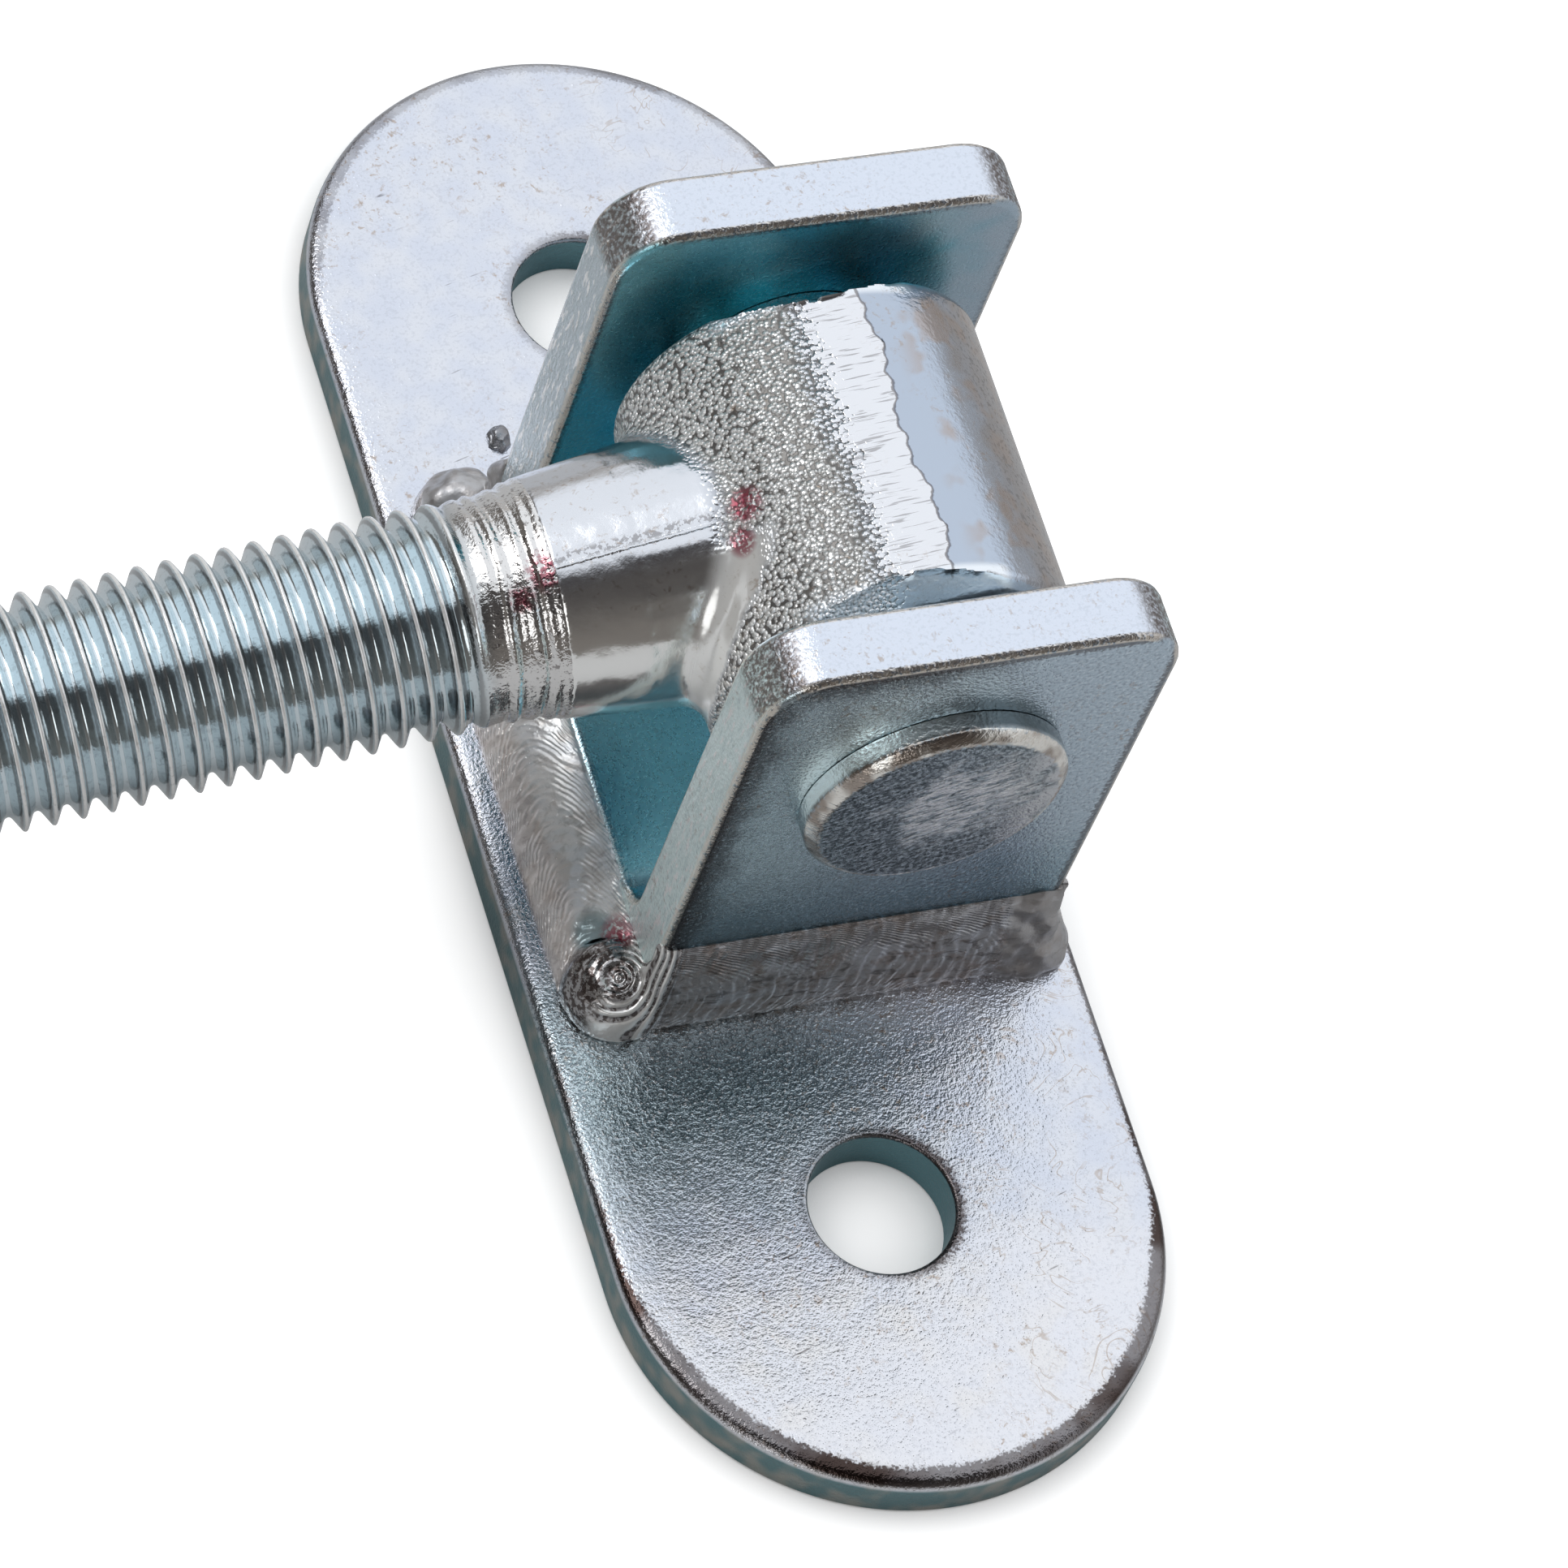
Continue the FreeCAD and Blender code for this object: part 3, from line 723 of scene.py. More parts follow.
def weld_finish(look):
    """Fine crescent ripples along a run, and rings round the lumps at its ends."""
    material, nodes = new_finish(look.name)
    place = nodes.place()
    x, y, z = nodes.split(place)
    fine = nodes.grain(place, 2.6, 2.0, 0.6)
    broad = nodes.grain(place, 0.3, 2.0)
    uneven = fine - 0.5
    patchy = broad - 0.5
    reach = abs(x - STRIP_MIDDLE_X) if look.lengthwise else abs(y)
    run = y if look.lengthwise else x
    offset = 0.7 * (z - reach) + look.crown
    bowed = run + 0.42 * offset * offset + 1.5 * patchy + 0.2 * uneven
    worn = nodes.fade(nodes.grain(place, 0.5, 1.0), 0.34, 0.62)
    ripple = look.ripple * worn * nodes.sine(10.5 * bowed)
    # Painted highlights on the ripples' crescents
    crescent_highlight = nodes.fade(ripple, 0.1, 0.8)

    # Lumps at the corners, the first of them ringed and pitted
    ringed = 0.0
    lumped = 0.0
    pitted = 0.0
    for lump in LUMPS:
        away = nodes.length(x - lump.x, y - lump.y)
        near = nodes.fade(away, lump.radius + 0.4, lump.radius - 0.5)
        lumped = nodes.most(near, lumped)
        swept = nodes.fade(x - lump.x - y + lump.y + 3.0 * patchy, -1.6, 1.0)
        band = nodes.fade(away, 1.2, 1.9) * nodes.fade(away, lump.radius - 0.1, lump.radius - 0.7)
        ringed = nodes.most(lump.rings * swept * band, ringed)
        ring = nodes.sine(12.5 * (away + 0.5 * patchy))
        ripple = ripple * (1 - near) + 3.0 * lump.rings * near * swept * ring
        crescent_highlight = crescent_highlight * (1 - near)
        pitted = nodes.most(lump.rings * near, pitted)

    # Brown film, painted shade in the creases and in the groove under the ear, painted glints, and single
    # spots
    brown = nodes.fade(nodes.grain(place, 0.6, 3.0, 0.6), 0.46, 0.64)
    foot = nodes.fade(offset + 2.0 * patchy, -0.1, -1.0)
    groove = nodes.fade(offset + 2.0 * patchy, 2.0, 3.4)
    creased = nodes.grain(nodes.stretched(place, (0.6, 1.5, 1.5)), 0.9, 3.0, 0.65, 0.8)
    creases = nodes.fade(creased, 0.52, 0.64)
    hollow = nodes.spot(place, (HOLLOWS[0].x, HOLLOWS[0].y, HOLLOW_TOP), 0.9, 2.0)
    spattered = nodes.spot(place, (*SPATTER_PLACE, PLATE_THICK + 0.4), 1.4, 2.0)
    red = nodes.spot(place, (-13.4, -15.8, 7.6), 0.6, 1.9) * nodes.fade(fine, 0.36, 0.5)

    face = nodes.tint(nodes.fade(broad, 0.38, 0.6), look.dark, look.light)
    face = nodes.tint(look.brown * brown, face, WELD_BROWN)
    face = nodes.tint(look.foot * foot, face, WELD_FOOT)
    # Painted highlights on the crescents
    face = nodes.tint(0.6 * crescent_highlight, face, look.light)
    # Painted shade in the creases and in the groove under the ear; painted glints after it
    face = nodes.tint(nodes.most(look.creases * creases, look.groove * groove), face, DARK_WEAR_AND_SHADE)
    face = nodes.tint(look.glints * nodes.fade(creased, 0.44, 0.34), face, look.light)
    face = nodes.tint(0.75 * lumped, face, LUMP_GREY)
    face = nodes.tint(0.9 * pitted * nodes.fade(fine, 0.44, 0.56), face, DARK_WEAR_AND_SHADE)
    face = nodes.tint(ringed * nodes.fade(ripple, -1.6, 0.2), face, GLINT)
    face = nodes.tint(0.75 * spattered, face, SPATTER_DARK)
    # Painted shade in the hollow beside the front left lump
    face = nodes.tint(0.7 * hollow, face, HOLLOW_SHADE_TEAL)
    face = nodes.tint(0.85 * red, face, REDDISH)
    height = 0.035 * uneven + 0.026 * ripple
    roughness = 0.24 + 0.14 * uneven + 0.12 * lumped - 0.2 * pitted
    nodes.metal(face, roughness, height, look.metallic - 0.4 * ringed)
    return material


def clamp(value):
    return min(max(value, 0.0), 1.0)


def vertices(made):
    """The new vertices among what an operator returns."""
    return [item for item in made["geom"] if isinstance(item, bmesh.types.BMVert)]


def everything(bm):
    return bm.verts[:] + bm.edges[:] + bm.faces[:]


def modified(bm, kind, settings):
    """The shape after one modifier."""
    mesh = bpy.data.meshes.new("blank")
    bm.to_mesh(mesh)
    bm.free()
    blank = bpy.data.objects.new("blank", mesh)
    bpy.context.scene.collection.objects.link(blank)
    step = blank.modifiers.new("step", kind)
    for name, value in settings.items():
        setattr(step, name, value)
    made = bmesh.new()
    made.from_object(blank, bpy.context.evaluated_depsgraph_get())
    bpy.data.objects.remove(blank)
    bpy.data.meshes.remove(mesh)
    return made


def drilled(bm, centre, axis, radius):
    """The shape with a round hole through it."""
    tool = bmesh.new()
    turn = Vector((0, 0, 1)).rotation_difference(Vector(axis)).to_matrix().to_4x4()
    bmesh.ops.create_cone(
        tool, cap_ends=True, segments=ROUND_STEPS, radius1=radius, radius2=radius, depth=DRILL_DEPTH,
        matrix=Matrix.Translation(centre) @ turn,
    )
    mesh = bpy.data.meshes.new("drill")
    tool.to_mesh(mesh)
    tool.free()
    drill = bpy.data.objects.new("drill", mesh)
    bpy.context.scene.collection.objects.link(drill)
    made = modified(bm, "BOOLEAN", {"operation": "DIFFERENCE", "solver": "EXACT", "object": drill})
    bpy.data.objects.remove(drill)
    bpy.data.meshes.remove(mesh)
    return made


def node_copy(node):
    """A merged copy of a solid, in millimetres."""
    bm = bmesh.new()
    bm.from_mesh(frame["nodes"][node].data)
    bmesh.ops.scale(bm, vec=(1 / MM, 1 / MM, 1 / MM), verts=bm.verts)
    bmesh.ops.remove_doubles(bm, verts=bm.verts, dist=0.001)
    return bm


def remeshed(bm, voxel, melts):
    """The shape in even small facets, with its edges melted by rounds of smoothing."""
    bm = modified(bm, "REMESH", {"mode": "VOXEL", "voxel_size": voxel})
    for _ in range(melts):
        bmesh.ops.smooth_vert(
            bm, verts=bm.verts, factor=0.5, use_axis_x=True, use_axis_y=True, use_axis_z=True,
        )
    return bm


def rounded(bm, edges, radius, segments):
    bmesh.ops.bevel(
        bm, geom=edges, offset=radius, offset_type="OFFSET", affect="EDGES",
        segments=segments, profile=0.5, material=-1,
    )


def sharp_edges(bm, angle_deg=35.0):
    limit = math.radians(angle_deg)
    return [edge for edge in bm.edges if edge.is_manifold and edge.calc_face_angle() > limit]


def fill_holes(bm):
    bmesh.ops.holes_fill(bm, edges=[edge for edge in bm.edges if edge.is_boundary], sides=0)


def add_piece(bm, name, body, material, stands_for, sharp_deg=40.0, flat=True):
    """Turn a shape in millimetres into a piece that rides on a body and stands for solids."""
    bmesh.ops.scale(bm, vec=(MM, MM, MM), verts=bm.verts)
    mesh = bpy.data.meshes.new(name)
    bm.to_mesh(mesh)
    bm.free()
    mesh.materials.append(material)
    mesh.shade_smooth()
    mesh.set_sharp_from_angle(angle=math.radians(sharp_deg))
    piece = bpy.data.objects.new(name, mesh)
    bpy.context.scene.collection.objects.link(piece)
    if flat:
        weighted = piece.modifiers.new("weighted", "WEIGHTED_NORMAL")
        weighted.keep_sharp = True
    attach(piece, body)
    if stands_for:
        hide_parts(*stands_for)
    return piece


def drawn(bm, loop, middle_of, steps):
    """Extrude a closed loop through steps, each a reach from its middle and a level."""
    for reach, level in steps:
        made = bmesh.ops.extrude_edge_only(bm, edges=loop)
        loop = [item for item in made["geom"] if isinstance(item, bmesh.types.BMEdge)]
        for vert in vertices(made):
            middle = middle_of(vert.co)
            way = Vector((vert.co.x - middle.x, vert.co.y - middle.y, 0.0)).normalized()
            vert.co = middle + reach * way
            vert.co.z = level
    return loop


def spine(at):
    """The point of the plate's middle line that its rim is drawn out from."""
    return Vector((0.0, min(max(at.y, -PLATE_END_Y), PLATE_END_Y), 0.0))


def hole_middle(at):
    return Vector((0.0, math.copysign(HOLE_Y, at.y), 0.0))


def rim_profiles():
    """Steps down the plate's outer edge, and down a hole's rim."""
    quarter = [math.pi / 2 * step / EDGE_STEPS for step in range(1, EDGE_STEPS + 1)]
    edge_steps = []
    for angle in quarter:
        inset = EDGE_ROLL * (1 - math.sin(angle))
        sunk = EDGE_DROP * (1 - inset / EDGE_ROLL) ** 2
        turn = max(EDGE_CORNER_R - inset, 0.0)
        sunk += EDGE_CORNER_R - math.sqrt(EDGE_CORNER_R ** 2 - turn ** 2)
        edge_steps.append((PLATE_HALF_W - inset, PLATE_THICK - sunk))
    hole_steps = [
        (HOLE_R + HOLE_RIM * (1 - math.sin(angle)), PLATE_THICK - HOLE_RIM * (1 - math.cos(angle)))
        for angle in quarter[2::3] + quarter[-1:]
    ]
    bend = FOOT_BEND * FOOT_ROUND
    for inward, level in ((0.0, FOOT_ROUND), (bend, bend), (FOOT_ROUND, 0.0)):
        edge_steps.append((PLATE_HALF_W - inward, level))
        hole_steps.append((HOLE_R + inward, level))
    return edge_steps, hole_steps


def plate(material):
    """Rolled bar with round ends: its top face, then rims and walls drawn out and down, then its foot."""
    bm = bmesh.new()
    start = bm.verts.new((PLATE_HALF_W - EDGE_ROLL, -PLATE_END_Y, PLATE_THICK))
    bmesh.ops.spin(
        bm, geom=[start], cent=(0, -PLATE_END_Y, PLATE_THICK), axis=(0, 0, 1),
        angle=-math.pi, steps=ROUND_STEPS,
    )
    turned = vertices(bmesh.ops.duplicate(bm, geom=bm.verts[:] + bm.edges[:]))
    bmesh.ops.rotate(bm, cent=(0, 0, 0), matrix=Matrix.Rotation(math.pi, 3, "Z"), verts=turned)
    loose = [vert for vert in bm.verts if len(vert.link_edges) == 1]
    for side in (-1, 1):
        ends = [vert for vert in loose if vert.co.x * side > 0]
        bm.edges.new(ends)
    long_sides = [edge for edge in bm.edges if edge.calc_length() > PLATE_END_Y]
    bmesh.ops.subdivide_edges(bm, edges=long_sides, cuts=SIDE_CUTS)
    outline = bm.edges[:]
    holes = []
    for end in (-1, 1):
        before = set(bm.edges)
        bmesh.ops.create_circle(
            bm, cap_ends=False, segments=ROUND_STEPS, radius=HOLE_R + HOLE_RIM,
            matrix=Matrix.Translation((0, end * HOLE_Y, PLATE_THICK)),
        )
        holes.append([edge for edge in bm.edges if edge not in before])
    bmesh.ops.triangle_fill(bm, use_beauty=True, use_dissolve=False, edges=bm.edges[:])
    edge_steps, hole_steps = rim_profiles()
    foot_loops = drawn(bm, outline, spine, edge_steps)
    for hole in holes:
        foot_loops = foot_loops + drawn(bm, hole, hole_middle, hole_steps)
    bmesh.ops.triangle_fill(bm, use_beauty=True, use_dissolve=False, edges=foot_loops)
    bmesh.ops.recalc_face_normals(bm, faces=bm.faces)
    return add_piece(bm, "plate", "bracket", material, ["base_plate"])


def edges_along(bm, axis, level, side_y):
    """Edges along an axis at a level, on both sides of the middle."""
    found = []
    for edge in bm.edges:
        run = edge.verts[1].co - edge.verts[0].co
        middle = (edge.verts[0].co + edge.verts[1].co) / 2
        along = abs(run.normalized()[axis]) > 0.99
        if along and abs(middle.z - level) < 0.01 and abs(abs(middle.y) - side_y) < 0.01:
            found.append(edge)
    return found


def bracket(material):
    """Flat strip folded to a U, with rounded ears drilled for the pin."""
    bm = bmesh.new()
    foot = PLATE_THICK
    web = foot + STRIP_THICK
    outline = (
        (-EAR_OUTER, EAR_TOP), (-EAR_OUTER, foot), (EAR_OUTER, foot), (EAR_OUTER, EAR_TOP),
        (EAR_INNER, EAR_TOP), (EAR_INNER, web), (-EAR_INNER, web), (-EAR_INNER, EAR_TOP),
    )
    section = bm.faces.new([bm.verts.new((STRIP_LOW_X, y, z)) for y, z in outline])
    far = vertices(bmesh.ops.extrude_face_region(bm, geom=[section]))
    bmesh.ops.translate(bm, vec=(STRIP_HIGH_X - STRIP_LOW_X, 0, 0), verts=far)
    bmesh.ops.recalc_face_normals(bm, faces=bm.faces)
    rounded(bm, edges_along(bm, 0, foot, EAR_OUTER), BEND_INNER_R + STRIP_THICK, BEND_OUTER_STEPS)
    rounded(bm, edges_along(bm, 0, web, EAR_INNER), BEND_INNER_R, BEND_INNER_STEPS)
    rounded(bm, edges_along(bm, 1, EAR_TOP, (EAR_INNER + EAR_OUTER) / 2), EAR_CORNER_R, EAR_CORNER_STEPS)
    rounded(bm, sharp_edges(bm), STRIP_EDGE_ROUND, STRIP_EDGE_STEPS)
    bm = drilled(bm, PIN, (0, 1, 0), PIN_HOLE_R)
    return add_piece(bm, "bracket_strip", "bracket", material, ["u_bracket"])


def pin(material):
    """A rivet turned about the pin's axis, with a flat head in front and a crowned tail."""
    bm = bmesh.new()
    face_r = HEAD_R - HEAD_CHAMFER
    profile = [(face_r * ring / HEAD_RINGS, -HEAD_Y) for ring in range(HEAD_RINGS + 1)]
    profile += [
        (HEAD_R, -HEAD_Y + HEAD_CHAMFER), (HEAD_R, -EAR_OUTER), (SHANK_R, -EAR_OUTER),
        (SHANK_R, EAR_OUTER), (TAIL_R, EAR_OUTER), (TAIL_R, TAIL_RIM_Y),
        (TAIL_CROWN_R, TAIL_Y - TAIL_CROWN_DROP), (TAIL_CROWN_R * 0.5, TAIL_Y), (0.0, TAIL_Y),
    ]
    line = [bm.verts.new((PIN.x + out, along, PIN.z)) for out, along in profile]
    edges = [bm.edges.new(pair) for pair in zip(line, line[1:])]
    bmesh.ops.spin(
        bm, geom=line + edges, cent=PIN, axis=(0, 1, 0), angle=2 * math.pi, steps=PIN_STEPS, use_merge=True,
    )
    bmesh.ops.remove_doubles(bm, verts=bm.verts, dist=0.001)
    bmesh.ops.recalc_face_normals(bm, faces=bm.faces)
    rounded(bm, sharp_edges(bm, angle_deg=30.0), PIN_EDGE_ROUND, PIN_EDGE_STEPS)
    return add_piece(bm, "pin_rivet", "bracket", material, ["hinge_pin"])


def lip_at(y):
    """Where the trimmed strip on top of the eye breaks off, along the rod from the pin."""
    return LIP_S + sum(wave * math.sin(turn * y + phase) for wave, turn, phase in LIP_WAVES)


def drum_radius(at, s, y, h):
    """The drum's radius at a point, with its trimmed flats and its pebbled side."""
    from_pin = math.hypot(s, h)
    radius = BARREL_R
    if abs(s) < FLAT_REACH and abs(y) < BARREL_HALF - FLAT_EDGE:
        left = FLAT_TOP_START if h > 0 else FLAT_LOW_HALF
        right = lip_at(y) if h > 0 else -FLAT_LOW_HALF
        on_flat = clamp((s - right) / FLAT_STEP + 0.5) * clamp((left - s) / FLAT_STEP + 0.5)
        radius += on_flat * (FLAT_HEIGHT * from_pin / abs(h) - BARREL_R)
    coarse = noise.noise(at * 1.5) + 0.6 * noise.noise(at * 3.1)
    return radius + PEBBLE_HEIGHT * (coarse - 1.0) * clamp((s - PEBBLE_FROM) / PEBBLE_FADE)


def neck_radius(at, s):
    """The neck's radius, tapered and tucked in under the first turn of the thread."""
    radius = NECK_ROOT_R - (NECK_ROOT_R - NECK_R) * (s - NECK_ROOT_S) / (NECK_END - NECK_ROOT_S)
    radius -= TUCK_DEPTH * clamp((s - THREAD_FROM - TUCK_LAG) / TUCK_FADE)
    return radius + NECK_WAVE * noise.noise(at * 0.8)


def eye(material):
    """The forging's own solid, remeshed fine, with a rough drum and a torn trim line."""
    bm = node_copy("eye_bolt")
    cut = PIN + NECK_TUCK * ROD
    bmesh.ops.bisect_plane(
        bm, geom=everything(bm), dist=0.0001, plane_co=cut, plane_no=ROD, clear_outer=True,
    )
    fill_holes(bm)
    bm = remeshed(bm, EYE_VOXEL, EYE_MELTS)
    for vert in bm.verts:
        offset = vert.co - PIN
        s = offset.dot(ROD)
        y = offset.y
        h = offset.dot(ROD_UP)
        from_pin = math.hypot(s, h)
        from_rod = math.hypot(y, h)
        near_neck = s > 0 and from_rod < NECK_ROOT_R + NECK_FILLET
        across = abs(y) < BARREL_HALF - DRUM_EDGE
        if abs(from_pin - BORE_R) < BORE_CATCH and across:
            vert.co += (BORE_R / from_pin - 1.0) * (ROD * s + ROD_UP * h)
        elif from_pin > BARREL_R - DRUM_SKIN and not near_neck and across:
            radius = drum_radius(vert.co, s, y, h)
            if abs(from_pin - radius) < PEBBLE_CATCH:
                vert.co += (radius / from_pin - 1.0) * (ROD * s + ROD_UP * h)
        elif s > NECK_ROOT_S + NECK_CLEAR and from_rod > NECK_CORE_R:
            radius = neck_radius(vert.co, s)
            vert.co += (radius / from_rod - 1.0) * (Vector((0, y, 0)) + ROD_UP * h)
    return add_piece(
        bm, "forged_eye", "eye_bolt", material, ["eye_bolt"], sharp_deg=60.0, flat=False,
    )


def rod_radius(at):
    """The radius that a point of the spun thread ends at: run out at the neck and chamfered at the tip."""
    s = at.x
    grown = clamp((s - RUNOUT_START) / (RUNOUT_END - RUNOUT_START))
    depth = grown * grown * (3 - 2 * grown)
    blank = CREST_R + (NECK_R + COLLAR_LIFT - CREST_R) * clamp((NECK_END + COLLAR_FADE - s) / COLLAR_FADE)
    ringed = clamp((s - RINGS_FROM) / RINGS_RISE) * clamp((RINGS_END - s) / RINGS_FALL)
    wander = noise.noise(at * 0.22)
    rings = math.sin(2 * math.pi * (s + 0.5 * wander) / COARSE_RING)
    rings += 0.6 * math.sin(2 * math.pi * s / FINE_RING + 3.0 * wander)
    rings += 0.6 * noise.noise(at * 0.9)
    radius = blank + (math.hypot(at.y, at.z) - CREST_R) * depth + ringed * RINGS_DEPTH * (rings - RINGS_SINK)
    radius += ROD_WEAR * (noise.noise(at * 1.3) - 1.0)
    return min(radius, CREST_R - TIP_CHAMFER + (ROD_END - s) + TIP_SLACK)


def thread(material):
    """A helical rolled thread: a few turns are spun, then doubled along the rod."""
    bm = bmesh.new()
    profile = list(HALF_RIDGE) + [(PITCH - along, out) for along, out in reversed(HALF_RIDGE[:-1])]
    start = THREAD_FROM - 2 * PITCH
    line = [bm.verts.new((start + along, 0.0, out)) for along, out in profile]
    edges = [bm.edges.new(pair) for pair in zip(line, line[1:])]
    bmesh.ops.spin(
        bm, geom=line + edges, cent=(0, 0, 0), axis=(1, 0, 0), dvec=(PITCH / THREAD_STEPS, 0, 0),
        angle=2 * math.pi * SPUN_TURNS, steps=SPUN_TURNS * THREAD_STEPS, use_merge=False,
    )
    for doubling in range(DOUBLINGS):
        moved = vertices(bmesh.ops.duplicate(bm, geom=everything(bm)))
        bmesh.ops.translate(bm, vec=(PITCH * SPUN_TURNS * 2 ** doubling, 0, 0), verts=moved)
    bmesh.ops.remove_doubles(bm, verts=bm.verts, dist=0.002)
    for vert in bm.verts:
        growth = rod_radius(vert.co) / math.hypot(vert.co.y, vert.co.z)
        vert.co.y *= growth
        vert.co.z *= growth
    for at, way in ((THREAD_FROM, -1), (ROD_END, 1)):
        bmesh.ops.bisect_plane(
            bm, geom=everything(bm), dist=0.0001, plane_co=(at, 0, 0), plane_no=(way, 0, 0), clear_outer=True,
        )
    fill_holes(bm)
    bmesh.ops.recalc_face_normals(bm, faces=bm.faces)
    turn = Matrix((ROD, ROD_SIDE, ROD_UP)).transposed().to_4x4()
    bmesh.ops.transform(bm, matrix=Matrix.Translation(PIN) @ turn, verts=bm.verts)
    return add_piece(
        bm, "thread", "eye_bolt", material, ["eye_bolt"], sharp_deg=50.0, flat=False,
    )


def weld_swell(at, run, lumps):
    """How far a bead's skin stands out at a point: ripples along its run, rings and lumps at its ends."""
    along = at[run]
    across = at[1 - run]
    middle = math.copysign(SIDE_BEAD_MIDDLE if run else END_BEAD_MIDDLE, across)
    wander = noise.noise(at * 0.4)
    bowed = along + BEAD_BOW * (across - middle) ** 2 + 0.8 * wander
    swell = WELD_SWELL + RIPPLE_HEIGHT * math.sin(2 * math.pi * bowed / RIPPLE_PITCH)
    for lump in lumps:
        away = math.hypot(at.x - lump.x, at.y - lump.y)
        near = clamp((lump.radius - away) / LUMP_FADE + 0.5)
        ring = RING_HEIGHT * lump.rings * math.sin(2 * math.pi * (away + 0.3 * wander) / RIPPLE_PITCH)
        uneven = LUMP_WAVE * noise.noise(at * 0.55) + LUMP_GRAIN * noise.noise(at * 1.9)
        swell += near * (WELD_SWELL + ring + (1.0 - lump.rings) * uneven - swell)
    for hollow in HOLLOWS:
        away = math.hypot(at.x - hollow.x, at.y - hollow.y)
        swell -= hollow.depth * clamp(1.0 - (away / hollow.radius) ** 2) ** 2
    return swell + BEAD_WAVE * wander


def weld(node, run, material, lumps):
    """A bead's own solid, remeshed fine, melted smooth and rippled along X (run 0) or Y (run 1)."""
    bm = remeshed(node_copy(node), WELD_VOXEL, WELD_MELTS)
    bm.normal_update()
    moves = [(vert, vert.normal * weld_swell(vert.co, run, lumps)) for vert in bm.verts]
    for vert, move in moves:
        vert.co += move
        vert.co.z = max(vert.co.z, PLATE_THICK - WELD_SINK)
    return add_piece(
        bm, node + "_bead", "bracket", material, [node], sharp_deg=60.0, flat=False,
    )


def spatter(material):
    """A small bead of weld metal stuck to the plate."""
    bm = bmesh.new()
    seat = Matrix.Translation((*SPATTER_PLACE, PLATE_THICK + SPATTER_LIFT))
    shape = seat @ Matrix.Diagonal((*SPATTER_STRETCH, 1.0))
    bmesh.ops.create_icosphere(bm, subdivisions=5, radius=SPATTER_R, matrix=shape)
    noise.seed_set(SPATTER_SEED)
    for vert in bm.verts:
        vert.co += SPATTER_ROUGH * noise.noise_vector(vert.co * 1.5)
    return add_piece(bm, "weld_spatter", "bracket", material, [], sharp_deg=80.0, flat=False)


# Studio colours and directions
ROOM_TOP = colour(0.06, 0.056, 0.056)
ROOM_LOW = colour(0.16, 0.148, 0.138)
SKY_LOW = colour(0.50, 0.48, 0.46)
SKY_TOP = colour(0.96, 0.99, 1.03)
WINDOW_LIGHT = colour(1.4, 1.4, 1.4)
KEY_LIGHT = colour(3.4, 3.4, 3.4)
TABLE_GREY = colour(0.60, 0.60, 0.60)
FRONT_WAY = (0.0, 0.985, 0.174)
LEFT_WAY = (0.77, 0.0, 0.64)
WINDOW_WAY = (-0.60, -0.69, 0.41)
KEY_WAY = (-0.50, 0.35, 0.79)
# The table, in metres
TABLE_HALF = 4.0
TABLE_DROP = 0.00002
TABLE_SHADE = 0.009


def world():
    """White to the camera; to the metal, a bright sky behind and above, and a dark room in front."""
    made = bpy.data.worlds.new("studio")
    bpy.context.scene.world = made
    made.use_nodes = True
    nodes = Nodes(made.node_tree)
    ray = nodes.node("ShaderNodeLightPath")
    way = nodes.node("ShaderNodeTexCoord", output=0)
    height = nodes.along(way, (0, 0, 1))
    front = nodes.fade(nodes.along(way, FRONT_WAY), -0.10, 0.06)
    left = nodes.fade(nodes.along(way, LEFT_WAY), -0.14, 0.16)
    right = nodes.fade(nodes.along(way, (1, 0, 0)), 0.48, 0.74)
    window = nodes.fade(nodes.along(way, WINDOW_WAY), 0.95, 0.978)
    key = nodes.fade(nodes.along(way, KEY_WAY), 0.945, 0.968)
    dark = nodes.tint(nodes.fade(height, 0.92, 0.15), ROOM_TOP, ROOM_LOW)
    bright = nodes.tint(nodes.fade(height, 0.10, 0.34), SKY_LOW, SKY_TOP)
    room = nodes.tint(nodes.most(front, 0.72 * right) * left, dark, bright)
    room = nodes.tint(window, room, WINDOW_LIGHT)
    room = nodes.tint(key, room, KEY_LIGHT)
    seen = nodes.tint(ray, room, WHITE)
    sky = nodes.node("ShaderNodeBackground", sockets={"Color": seen, "Strength": 1.0})
    nodes.node("ShaderNodeOutputWorld", sockets={"Surface": sky})


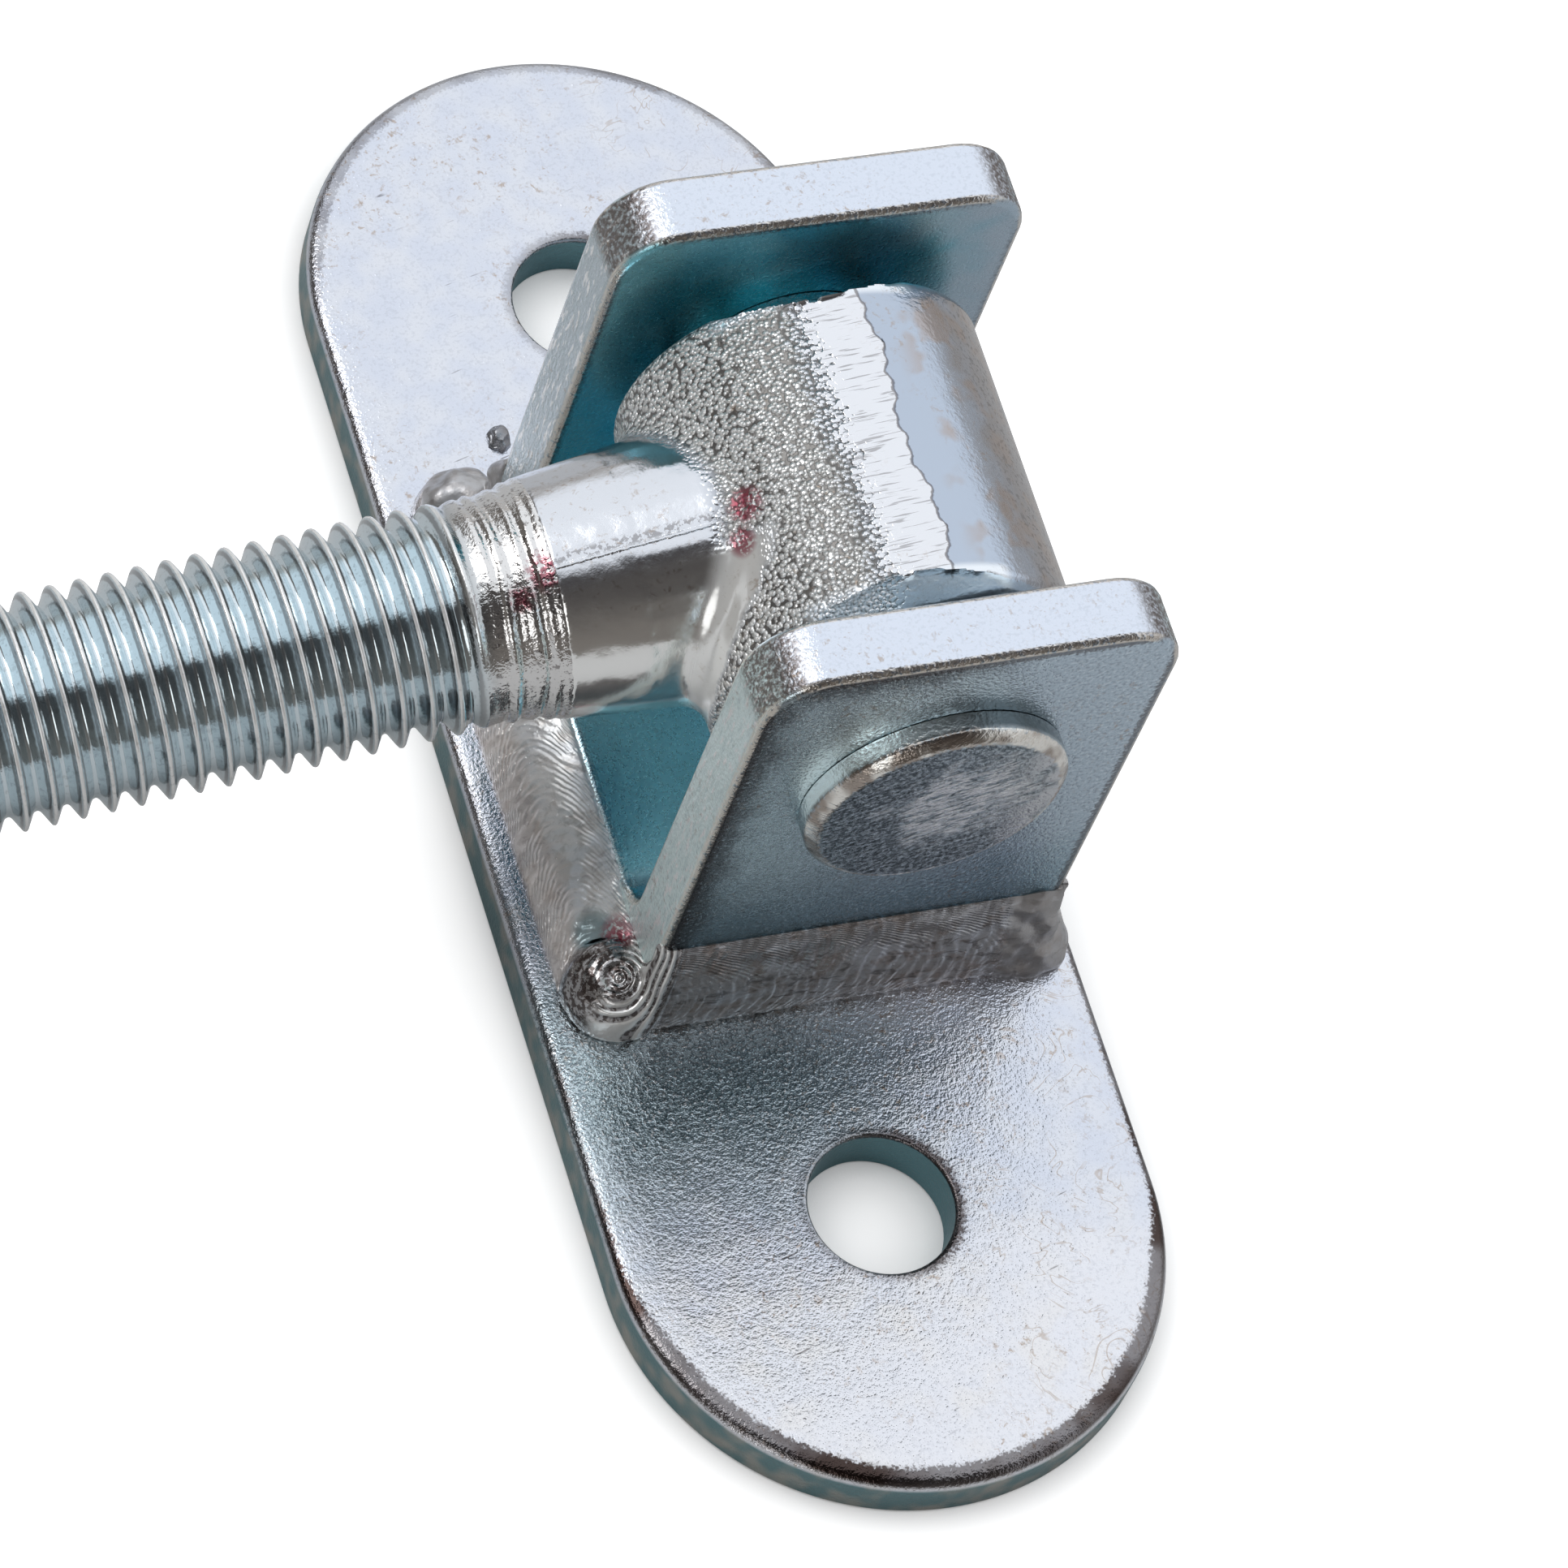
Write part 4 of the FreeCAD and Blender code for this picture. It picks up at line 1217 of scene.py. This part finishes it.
def floor():
    """A white table: occlusion darkens its glow close to the part as a painted shadow, over the real shadow
    on its matt part.
    """
    bm = bmesh.new()
    seat = Matrix.Translation((0, 0, -TABLE_DROP))
    bmesh.ops.create_grid(bm, x_segments=1, y_segments=1, size=TABLE_HALF, matrix=seat)
    mesh = bpy.data.meshes.new("table")
    bm.to_mesh(mesh)
    bm.free()
    table = bpy.data.objects.new("table", mesh)
    bpy.context.scene.collection.objects.link(table)
    material, nodes = new_finish("table_white")
    ray = nodes.node("ShaderNodeLightPath")
    mirrored = nodes.other(ray, "Is Glossy Ray")
    open_air = nodes.node("ShaderNodeAmbientOcclusion", {"samples": 2}, {"Distance": TABLE_SHADE}, 1)
    glow = open_air ** 1.4 * (0.96 * ray + 0.06 * mirrored)
    own = nodes.node("ShaderNodeEmission", sockets={"Color": WHITE, "Strength": glow})
    matt = nodes.node("ShaderNodeBsdfDiffuse", sockets={"Color": TABLE_GREY})
    both = nodes.node("ShaderNodeAddShader", sockets={0: own, 1: matt})
    nodes.node("ShaderNodeOutputMaterial", sockets={"Surface": both})
    table.data.materials.append(material)


def camera():
    """The photograph's view: a long lens from the front left, above."""
    lens = bpy.data.cameras.new("camera")
    lens.sensor_width = SENSOR_MM
    lens.lens = LENS_MM
    lens.clip_start = 0.01
    view = bpy.data.objects.new("camera", lens)
    turn = Matrix((CAMERA_RIGHT, CAMERA_UP, CAMERA_RIGHT.cross(CAMERA_UP))).transposed().to_4x4()
    view.matrix_world = Matrix.Translation(CAMERA_AT * MM) @ turn
    bpy.context.scene.collection.objects.link(view)
    bpy.context.scene.camera = view


def main():
    plate(plate_finish())
    bracket(bracket_finish())
    pin(pin_finish())
    eye(forging_finish())
    thread(thread_finish())
    across = weld_finish(ACROSS)
    along = weld_finish(ALONG)
    weld("weld_front", 0, across, (FRONT_LEFT, FRONT_RIGHT))
    weld("weld_rear", 0, across, (REAR_LEFT, REAR_RIGHT))
    weld("weld_left", 1, along, (FRONT_LEFT, REAR_LEFT))
    weld("weld_right", 1, along, (FRONT_RIGHT, REAR_RIGHT))
    spatter(across)
    world()
    floor()
    camera()
    bpy.context.scene.view_settings.view_transform = "Standard"


main()
